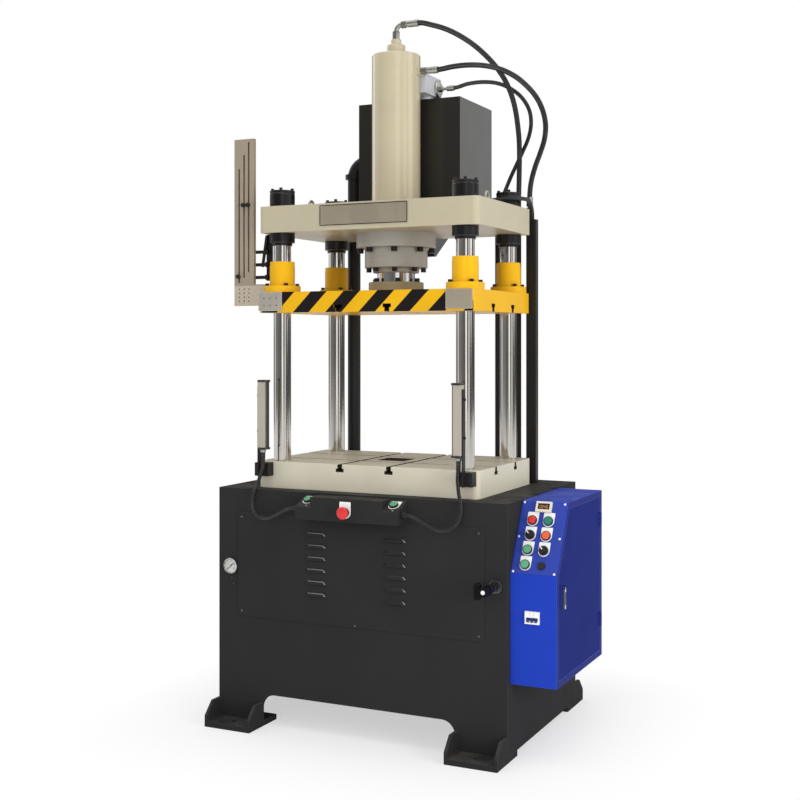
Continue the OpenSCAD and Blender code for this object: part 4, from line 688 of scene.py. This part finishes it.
PLUG_R = 7.5
BOOT_ROWS, BOOT_RIBS = 16, 5
along = np.linspace(0, 1, BOOT_ROWS)
taper = PLUG_R - 0.8 * along + 0.3 * np.cos(2 * np.pi * BOOT_RIBS * along)
nut = hoop(PLUG_R - 0.5, PLUG_R + 2.2, width=9, chamfer=1)
plug_nuts, boots = [], []
for node in ("light_cable_left", "light_cable_right"):
    plug_nuts.append(seat(nut, routes[node][0] + [0, 0, 11 * MM], X_AXIS, Y_AXIS))
    stretch = routes[node][:BOOT_ROWS]
    boots.append(tube(stretch, taper * MM, DOWN, stretch[-1] - stretch[-2]))
skin("plug_nuts", plug_nuts, zinc, "base", loop=True)
skin("cable_boots", boots, black_plastic, "base")
print("ferrule rings:", len(ferrule_hoops), "and cable boots:", len(boots))

# %% [markdown]
# ## Plates
# The crown carries a bare name plate with a thin dark frame line and a rivet in each corner. The platen has a
# grey plate near each end, the left one with two rows of small black discs: painted shade for drilled holes.
# A plate is three rings of one outline: the back, the edge and the face drawn in a little, which makes a
# chamfer that catches light.

# %% Name plate and end plates
NAME_PLATE, NAME_T = (328, 73), 2
END_PLATE, END_T = (92, 64), 4
NAME_AT = np.array([-3 * MM, low("crown")[1], 1.7125])
PLATEN_FACE = low("platen")[1]
END_Z = 1.428
END_AT = {"left": np.array([-0.349, PLATEN_FACE, END_Z]), "right": np.array([0.345, PLATEN_FACE, END_Z])}
END_METAL = {"left": plain_plate, "right": etched}


def front_plate(name, size, radius, thick, centre, material, body):
    """A plate on a face that looks to the operator."""
    skin(name, [on_front(slab(*size, radius, thick, edge=0.8), centre)], material, body)


def frame_line(size, inset, width, foot, top, radius=4):
    """A thin raised line that follows a plate's outline at some distance from its edge."""
    outer = rounded_box(size[0] - 2 * inset, size[1] - 2 * inset, radius)
    inner = rounded_box(size[0] - 2 * (inset + width), size[1] - 2 * (inset + width), radius - width)
    return raised([(outer, foot), (outer, top), (inner, top), (inner, foot)])


front_plate("name_plate", NAME_PLATE, 4, NAME_T, NAME_AT, etched, "base")
dark_line = frame_line(NAME_PLATE, inset=2.5, width=2.6, foot=NAME_T - 0.1, top=NAME_T + 0.2)
skin("name_plate_line", [on_front(dark_line, NAME_AT)], black_plastic, "base", loop=True)
for side, centre in END_AT.items():
    front_plate("end_plate_" + side, END_PLATE, 2, END_T, centre, END_METAL[side], "ram")
pale_line = frame_line(END_PLATE, inset=2, width=1.4, foot=END_T - 0.1, top=END_T + 0.3)
skin("end_plate_line", [on_front(pale_line, END_AT["right"])], plain_plate, "ram", loop=True)
# Black discs on the left plate: painted shade for its holes.
dot = turned([(2.2, END_T - 0.2), (2.2, END_T + 0.3), (0.3, END_T + 0.3)], 16)
dots = [on_front(dot + [x, z, 0], END_AT["left"]) for x in (-24, 0, 24) for z in (-13, 11)]
skin("end_plate_hole_shade", dots, black_plastic, "ram")
print("plates:", 1 + len(END_AT), "with", len(dots), "holes")

# %% [markdown]
# ## Legend plates
# Every control on the panel and the console sits on a white plate, square at the top and round at the
# bottom, with a hole for the control. The outline is a half circle joined to a box, and the hole is a
# second ring, so the plate is one closed skin: outer wall, face, inner wall, back.

# %% Legend plates of the panel
LEGEND, LEGEND_T = (36, 28), 1.2
LEGEND_HOLE = 30.2


def legend(width, up, count=64):
    """For each direction t from the control: the round below (radius w/2), the box above; then the hole."""
    t = np.linspace(0, 2 * np.pi, count, endpoint=False) + math.atan2(up, width / 2)
    c, s = np.cos(t), np.sin(t)
    wall, lid = width / 2 / np.maximum(abs(c), 1e-6), up / np.maximum(s, 1e-6)
    outer = np.stack([c, s], -1) * np.where(s > 0, np.minimum(wall, lid), width / 2)[:, None]
    inner = np.stack([c, s], -1) * LEGEND_HOLE / 2
    return raised([(outer, 0), (outer, LEGEND_T), (inner, LEGEND_T), (inner, 0)])


FOLD = np.array([SIDE_X, FRONT_Y + 22 * MM, CABINET_TOP - 215 * MM])
SLOPE = np.array([0, 113, 212]) / math.hypot(113, 212)
PANEL_T = 2


def on_panel(drawing, column, row, out=PANEL_T):
    """A drawing set on the slanted panel: millimetres from the box's left, up the slope and out of it."""
    return seat(drawing + [column, row, out], FOLD, X_AXIS, SLOPE)


LEFT_COLUMN, RIGHT_COLUMN = 45, 97
ROWS = (30, 78, 126, 174)
spots = [(LEFT_COLUMN, r) for r in ROWS] + [(RIGHT_COLUMN, r) for r in ROWS[1:]]
legends = [on_panel(legend(*LEGEND), *spot) for spot in spots]
skin("panel_legends", legends, white_plastic, "base", loop=True)
print("legend plates on the panel:", len(legends))

# %% Legend plates of the console
CONSOLE_FRONT = FRONT_Y - 71 * MM
CONSOLE_LOW = CABINET_TOP - 79 * MM
CONSOLE_SLOPE = np.array([0, 71, 30]) / math.hypot(71, 30)
PALMS = [np.array([x, CONSOLE_FRONT + 35.5 * MM, CONSOLE_LOW + 56 * MM]) for x in (-0.1555, 0.1555)]
STOP_AT = (0, CONSOLE_FRONT, CONSOLE_LOW + 31 * MM)
STOP_LEGEND = (40, 34)


def by_palm(drawing, palm):
    """A drawing set about a palm button, on the console's slanted top."""
    return seat(drawing, palm, X_AXIS, CONSOLE_SLOPE)


console_legends = [by_palm(legend(*LEGEND), palm) for palm in PALMS]
console_legends.append(on_front(legend(*STOP_LEGEND), STOP_AT))
skin("console_legends", console_legends, white_plastic, "base", loop=True)
print("legend plates on the console:", len(console_legends))

# %% [markdown]
# ## Selectors, counter, breaker and lock
# Small marks make the controls readable: a white pointer on each selector, amber figures behind the
# counter's dark window, grey lines between the breaker's three poles, and a black inlay in the lock lever.
# The figures are made of seven bars each, like those of a simple counter.

# %% Pointers, window and figures
SELECTOR_TOP = PANEL_T + 18
SELECTORS = {"left_selector": (LEFT_COLUMN, ROWS[2]), "right_selector": (RIGHT_COLUMN, ROWS[1])}
pointer = block(-4.2, 4.2, 3, 11, foot=-0.2, top=0.4, turn=math.pi / 4)
for body, spot in SELECTORS.items():
    mark = on_panel(pointer, *spot, SELECTOR_TOP)
    skin(body + "_pointer", [mark], white_plastic, body)

BARS = {"0": "abcdef", "1": "bc", "2": "abged", "3": "abgcd", "4": "fgbc"}


def figures(text, x, y, height, foot, top):
    """Seven-bar figures: each bar is a thin block in a cell half as wide as it is high."""
    wide, thick = height / 2, height * 0.13
    flat, tall = (wide - thick, thick), (thick, height / 2 - thick)
    spot = {"a": (0, 2, flat), "g": (0, 0, flat), "d": (0, -2, flat), "b": (1, 1, tall), "c": (1, -1, tall),
            "f": (-1, 1, tall), "e": (-1, -1, tall)}
    made = []
    for place, figure in enumerate(text):
        middle = x + (place - (len(text) - 1) / 2) * height * 0.78
        for across, up, size in (spot[bar] for bar in BARS[figure]):
            made.append(block(middle + across * wide / 2, y + up * height / 4, *size, foot, top))
    return made


WINDOW_AT = (76, 220, PANEL_T + 6)
window = on_panel(slab(38.6, 19.6, radius=1, thick=0.6, edge=0.2), *WINDOW_AT)
skin("counter_window", [window], black_plastic, "base")
count = [on_panel(bar, *WINDOW_AT) for bar in figures("0240", 0, -1, height=9, foot=0.5, top=0.8)]
skin("counter_figures", count, amber_plastic, "base")
print("pointers:", len(SELECTORS), "and bars in the counter:", len(count))

# %% Breaker lines and lock inlay
BREAKER_AT = (SIDE_X + 73 * MM, low("breaker")[1], 0.4505)
LOCK_AT = (high("door_handle")[0], -0.262, 0.506)
poles = [block(x, 11.5, 0.6, 12, foot=-0.1, top=0.2) for x in (-6.25, 6.25)]
skin("breaker_lines", [on_front(p, BREAKER_AT) for p in poles], dark_plate, "base")
inlay = seat(slab(7, 40, radius=2, thick=0.8, edge=0.3), LOCK_AT, Y_AXIS, Z_AXIS)
skin("lock_inlay", [inlay], black_plastic, "lock")
print("breaker lines:", len(poles))

# %% [markdown]
# ## The valve knob
# The relief valve is set by hand with a moulded knob: a round hub with a blind bore for the stem, and a
# flat grip beside it. The solid's grip sits too high and too far to the right, so this piece stands in for
# the solid. The hub is one turned profile, which runs from the floor of the bore out to its mouth and then
# round to the face. A white cap closes the face.

# %% Knob and cap
KNOB_AT = (SIDE_X - 37 * MM, low("relief_knob")[1], 0.541)
HUB_R, HUB_LONG, BORE_R, BORE_END = 16, 42, 8.1, -7.9
cap = turned([(6.6, -0.3), (6.6, 0.6), (5.8, 1.2), (3, 1.6), (0.2, 1.7)])
skin("knob_cap", [on_front(cap, KNOB_AT)], white_plastic, "valve_knob")
hub = turned([(0.2, BORE_END), (BORE_R, BORE_END), (BORE_R, -HUB_LONG), (HUB_R, -HUB_LONG), (HUB_R, -2),
              (HUB_R - 2, 0), (0.2, 0)])
wing = slab(20, 52, radius=8, thick=17, edge=3) + [-26, -2, -30]
grip = skin("knob_grip", [on_front(form, KNOB_AT) for form in (hub, wing)], knob_plastic,
            "valve_knob")
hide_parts("relief_knob")
print("knob of %d mm with a grip beside it" % (2 * HUB_R))

# %% [markdown]
# ## Screws
# Small pan-head screws hold the cover, the panel and the plates. Each head is a dome over (r, t) with a
# cross pressed into it: the height drops where a point lies close to either of two lines through the
# middle.

# %% Cross-head screws
def screw(diameter, height, sides=32):
    """z(r, t) = h sqrt(1 - r^2) on a disc, less a cross-shaped recess near the middle."""
    r = np.array([1, 1, 0.94, 0.84, 0.72, 0.6, 0.48, 0.36, 0.24, 0.12, 0.03])
    t = np.linspace(0, 2 * np.pi, sides, endpoint=False)
    x, y = np.outer(r, np.cos(t)), np.outer(r, np.sin(t))
    dome = height * np.sqrt(np.clip(1 - (0.92 * np.hypot(x, y)) ** 2, 0, 1))
    cross = (np.minimum(abs(x), abs(y)) < 0.1) & (np.maximum(abs(x), abs(y)) < 0.6)
    dome = np.where(cross, dome - 0.45 * height, dome)
    dome[0] = 0
    return np.stack([x * diameter / 2, y * diameter / 2, dome], -1)


COVER_FACE = FRONT_Y - 3 * MM
cover_spots = [(-0.4315, 0.700), (0.4315, 0.700), (-0.4315, 0.382), (0.4315, 0.382), (0, 0.372)]
cover_heads = [on_front(screw(9, 3.2), (x, COVER_FACE, z)) for x, z in cover_spots]
skin("cover_screws", cover_heads, dark_plate, "base")
panel_heads = [on_panel(screw(7.5, 2.6), column, row) for column in (9, 141) for row in (7, 120, 233)]
skin("panel_screws", panel_heads, white_plastic, "base")
small_screw = screw(6, 2)
console_heads = [by_palm(small_screw + [8, -28, 0], palm) for palm in PALMS]
skin("console_screws", console_heads, zinc, "base")
gauge_spots = [(-0.466, 0.472), (-0.474, 0.49)]
gauge_heads = [on_front(small_screw, (x, FRONT_Y, z)) for x, z in gauge_spots]
skin("gauge_screws", gauge_heads, oxide, "base")
rivets = [on_front(screw(5, 1.6) + [x, z, NAME_T], NAME_AT) for x in (-156, 156) for z in (-29, 29)]
skin("plate_rivets", rivets, zinc, "base")
print("screws:", len(cover_heads + panel_heads + console_heads + gauge_heads), "and rivets:", len(rivets))

# %% [markdown]
# ## The gauge
# A white dial lies on the floor of the case, with ticks every nine degrees over three quarters of a turn
# and plain figures from 0 to 40. A shallow dome of glass closes the rim. The dial is drawn by geometry, so
# that it survives any export: each tick is a thin block turned to its own angle.

# %% Dial and ticks
GAUGE = np.array([-SIDE_X + 51 * MM, FRONT_Y - 4 * MM, 0.531])
DIAL_R, TICKS_R, FIGURES_R = 24.8, 22.8, 14
PAPER_T, MARK_FOOT, MARK_TOP = 0.3, 0.2, 0.5
SWEEP, TICKS, LONG_EVERY = (225, -45), 31, 5
paper = turned([(DIAL_R, 0), (DIAL_R, PAPER_T), (DIAL_R * 0.5, PAPER_T), (2, PAPER_T)], 48)
skin("gauge_dial", [on_front(paper, GAUGE)], dial_paper, "base")


def tick(angle, inner, outer, width):
    """A block from one radius to another, turned to an angle."""
    middle = (inner + outer) / 2
    x, y = middle * math.cos(angle), middle * math.sin(angle)
    return block(x, y, outer - inner, width, MARK_FOOT, MARK_TOP, angle)


marks = []
for i, angle in enumerate(np.radians(np.linspace(*SWEEP, TICKS))):
    inner, width = (20.5, 0.45) if i % LONG_EVERY else (18.5, 0.9)
    marks.append(tick(angle, inner, TICKS_R, width))
for text, angle in zip(("0", "10", "20", "30", "40"), np.radians(np.linspace(*SWEEP, 5))):
    marks += figures(text, FIGURES_R * math.cos(angle), FIGURES_R * math.sin(angle), 4.2, MARK_FOOT, MARK_TOP)
skin("gauge_marks", [on_front(m, GAUGE) for m in marks], black_plastic, "base")
print("gauge with", len(marks), "marks")


# %% Glass
def clear_glass():
    """Clear glass with the faintest waviness."""
    material, tree, shader, place = start("gauge_glass", Transmission_Weight=1.0, IOR=1.45, Roughness=0.02,
                                          Base_Color=(1, 1, 1, 1))
    bump(tree, shader, noise(tree, place, 40, 1), 0.02, 0.1 * MM)
    return material


pane = turned([(DIAL_R, 5), (DIAL_R, 6.2), (20, 6.8), (10, 7.2), (0.2, 7.3)], 48)
skin("gauge_pane", [on_front(pane, GAUGE)], clear_glass(), "base")
print("glass of %.0f mm" % (2 * DIAL_R))

# %% [markdown]
# ## Welds
# Each foot's two gussets are welded to the foot plate and to the cabinet. A weld bead is a small tube laid
# into the corner, with ripples where the pool of metal set again and again.

# %% Weld beads on the feet
FOOT_TOP, GUSSET_TOP = 18 * MM, 80 * MM
FOOT_OUT = 88 * MM
GUSSETS = (SIDE_X - 10 * MM, SIDE_X - 165 * MM)
BEAD_R, RIPPLE, END_GAP = 3.2 * MM, 4 * MM, 4 * MM


def bead(begin, end):
    """A straight tube whose radius ripples: r (1 + 0.12 cos(2 pi n u)), with one ripple every 4 mm."""
    begin, end = np.array(begin), np.array(end)
    long = np.linalg.norm(end - begin)
    u = np.linspace(0, 1, int(long / MM))
    path = begin + u[:, None] * (end - begin)
    radius = BEAD_R * (1 + 0.12 * np.cos(2 * np.pi * u * long / RIPPLE))
    return tube(path, radius, end - begin, end - begin, 10, across=X_AXIS)


beads = []
for sx in (-1, 1):
    for sy in (-1, 1):
        for x in GUSSETS:
            wall = sy * -FRONT_Y
            corner = (sx * x, wall, FOOT_TOP)
            beads.append(bead(corner, (sx * x, wall + sy * (FOOT_OUT - END_GAP), FOOT_TOP)))
            beads.append(bead(corner, (sx * x, wall, GUSSET_TOP - END_GAP)))
skin("foot_welds", beads, charcoal, "base", sharp=60)
print("weld beads:", len(beads))

# %% [markdown]
# ## Painted highlights on the louvres
# On the cover's hoods a pale grey line stands for a painted highlight along the upper bend and at the right
# end. It follows the hood: along its round top and down over the round end. On the right-hand column it lies
# only over the end.

# %% Painted highlights on the louvres
LOUVRE_R, LOUVRE_REACH = 8 * MM, 29 * MM
LOUVRE_X, LOUVRE_LOW, LOUVRE_PITCH, LOUVRE_ROWS = 145 * MM, 0.458, 39.5 * MM, 6
HIGHLIGHT_R = 1 * MM


def highlight_path(begin):
    """Path of a painted highlight: along the hood at 55 degrees up, then over its round end, where the way
    down turns the angle to -5.
    """
    run = np.linspace(begin, LOUVRE_REACH, 12)
    up = math.radians(55)
    level = np.ones(12) * LOUVRE_R
    straight = np.stack([run, -math.cos(up) * level, math.sin(up) * level], -1)
    a, lift = np.radians(np.linspace(6, 62, 12)), np.radians(np.linspace(52, -5, 12))
    bend = np.stack([np.sin(a), -np.cos(a) * np.cos(lift), np.cos(a) * np.sin(lift)], -1) * LOUVRE_R
    return np.concatenate([straight, bend + [LOUVRE_REACH, 0, 0]])


highlight_lines = []
for side, begin in ((-1, -LOUVRE_REACH), (1, LOUVRE_REACH - 3 * MM)):
    for row in range(LOUVRE_ROWS):
        line = highlight_path(begin) + [side * LOUVRE_X, COVER_FACE, LOUVRE_LOW + row * LOUVRE_PITCH]
        highlight_lines.append(tube(line, HIGHLIGHT_R * np.linspace(0.6, 1.5, len(line)), X_AXIS, line[-1] - line[-2], 8))
# A pale grey paint for the painted highlights.
painted_highlight = paint("painted_highlight", tint(148, 148, 146), 0.3, 600, 0.2)
skin("louvre_highlights", highlight_lines, painted_highlight, "base", sharp=60)
print("worn louvres:", len(highlight_lines))

# %% [markdown]
# ## The stage
# The photograph has no horizon: the floor runs into white. Near the press the floor is plain pale paint
# that keeps the shadow. Further out it turns to pure white for the camera and in reflections, so that it
# meets the white background without an edge, while all other light still meets a plain floor.

# %% Floor
FOOTPRINT = (0.5, 0.4, 0)
FLOOR_REACH = 14


def floor_paint():
    """White's share grows with the distance from the footprint: the length of max(|place| - footprint, 0)."""
    material, tree, shader, place = start("pale_floor", Roughness=0.7)
    clouds = mix(tree, noise(tree, place, 2, 3), tint(240, 240, 240), tint(244, 244, 244))
    tree.links.new(clouds, shader.inputs["Base Color"])
    past = vector(tree, "SUBTRACT", vector(tree, "ABSOLUTE", place)["Vector"], FOOTPRINT)["Vector"]
    away = vector(tree, "LENGTH", vector(tree, "MAXIMUM", past)["Vector"])["Value"]
    ray = add(tree, "ShaderNodeLightPath").outputs
    mirrors = maths(tree, "MAXIMUM", ray["Is Glossy Ray"], ray["Is Transmission Ray"])
    eyes = maths(tree, "MAXIMUM", ray["Is Camera Ray"], mirrors)
    share = maths(tree, "MULTIPLY", spread(tree, away, 0.02, 0.5, 0.55, 1.0), eyes)
    white = add(tree, "ShaderNodeEmission", {"Color": (1, 1, 1, 1), "Strength": 1.0}).outputs[0]
    both = add(tree, "ShaderNodeMixShader", {0: share, 1: shader.outputs[0], 2: white}).outputs[0]
    tree.links.new(both, tree.nodes["Material Output"].inputs["Surface"])
    return material


reach = np.linspace(-FLOOR_REACH, FLOOR_REACH, 3)
floor_grid = np.stack([*np.meshgrid(reach, reach), np.zeros((3, 3))], -1)
skin("floor", [floor_grid], floor_paint(), ring=False)
print("floor %d m wide" % (2 * FLOOR_REACH))

# %% [markdown]
# The world is white to the camera. Metal and gloss paint see a studio instead: a dim room, darker on the
# right, a bright ceiling and three tall soft panels, because chrome looks like chrome only when it has
# something bright and something dark to show. Three more panels stand above the level of the eye and draw
# streaks on the glossy cylinder and a sheen on the tank. Diffuse light from the world is even, and three
# large lamps add a soft direction.

# %% World
ROOM_LEFT, ROOM_RIGHT = 0.3, 0.1
CEILING = 0.8
DAYLIGHT = 0.75
# Each panel: its heading, half its angle, both in degrees, and its power.
PANELS = ((-57, 8, 1.5), (-22, 6, 1.1), (-166, 7, 1.1))
HIGH_PANELS = ((8, 9, 2.2), (60, 12, 1.0), (166, 9, 2.0))
world = bpy.data.worlds.new("studio")
scene.world = world
world.use_nodes = True
sky = world.node_tree
direction = add(sky, "ShaderNodeTexCoord").outputs["Generated"]
level = vector(sky, "MULTIPLY", direction, (1, 1, 0))["Vector"]
heading = vector(sky, "NORMALIZE", level)["Vector"]


def panel_light(azimuth, half, power):
    """A tall soft panel: full power within half its angle from a heading, none from 1.6 times that."""
    turn, full, none = np.radians([azimuth, half, half * 1.6])
    along = vector(sky, "DOT_PRODUCT", heading, (math.cos(turn), math.sin(turn), 0))["Value"]
    return spread(sky, along, math.cos(none), math.cos(full), 0.0, power)


shown = spread(sky, split(sky, heading)["X"], -0.9, 0.6, ROOM_LEFT, ROOM_RIGHT)
for panel in PANELS:
    shown = maths(sky, "MAXIMUM", shown, panel_light(*panel))
above = spread(sky, split(sky, direction)["Z"], -0.02, 0.1)
for panel in HIGH_PANELS:
    shown = maths(sky, "MAXIMUM", shown, maths(sky, "MULTIPLY", above, panel_light(*panel)))
shown = maths(sky, "MAXIMUM", shown, spread(sky, split(sky, direction)["Z"], 0.3, 0.8, 0.0, CEILING))
ray = add(sky, "ShaderNodeLightPath").outputs
glossy = add(sky, "ShaderNodeMix", {0: ray["Is Glossy Ray"], 2: DAYLIGHT, 3: shown}).outputs[0]
plain = maths(sky, "MAXIMUM", ray["Is Camera Ray"], ray["Is Transmission Ray"])
strength = add(sky, "ShaderNodeMix", {0: plain, 2: glossy, 3: 1.0}).outputs[0]
background = sky.nodes["Background"]
background.inputs["Color"].default_value = (1, 1, 1, 1)
sky.links.new(strength, background.inputs["Strength"])
print("panels in the studio:", len(PANELS) + len(HIGH_PANELS))


# %% Lamps
def lamp(name, place, aim, size, power):
    """A large soft lamp at a place, turned to its aim. Reflections show the world's panels instead of it."""
    data = bpy.data.lights.new(name, "AREA")
    data.shape = "RECTANGLE"
    data.size, data.size_y = size
    data.energy = power
    made = bpy.data.objects.new(name, data)
    made.visible_glossy = False
    scene.collection.objects.link(made)
    toward = np.array(aim) - np.array(place)
    made.location = place
    tilt = math.acos(-toward[2] / np.linalg.norm(toward))
    made.rotation_euler = (tilt, 0, math.atan2(-toward[0], toward[1]))


lamp("key", (0.6, -4.9, 2.2), (0, 0, 0.9), (2.4, 2.4), 40)
lamp("fill", (4.4, -1.8, 1.5), (0, 0, 0.9), (2.0, 2.4), 110)
lamp("top", (-0.4, -1.2, 5.2), (0, 0, 0), (3.0, 3.0), 60)
scene.view_settings.view_transform = "Standard"
print("lamps:", len(bpy.data.lights))
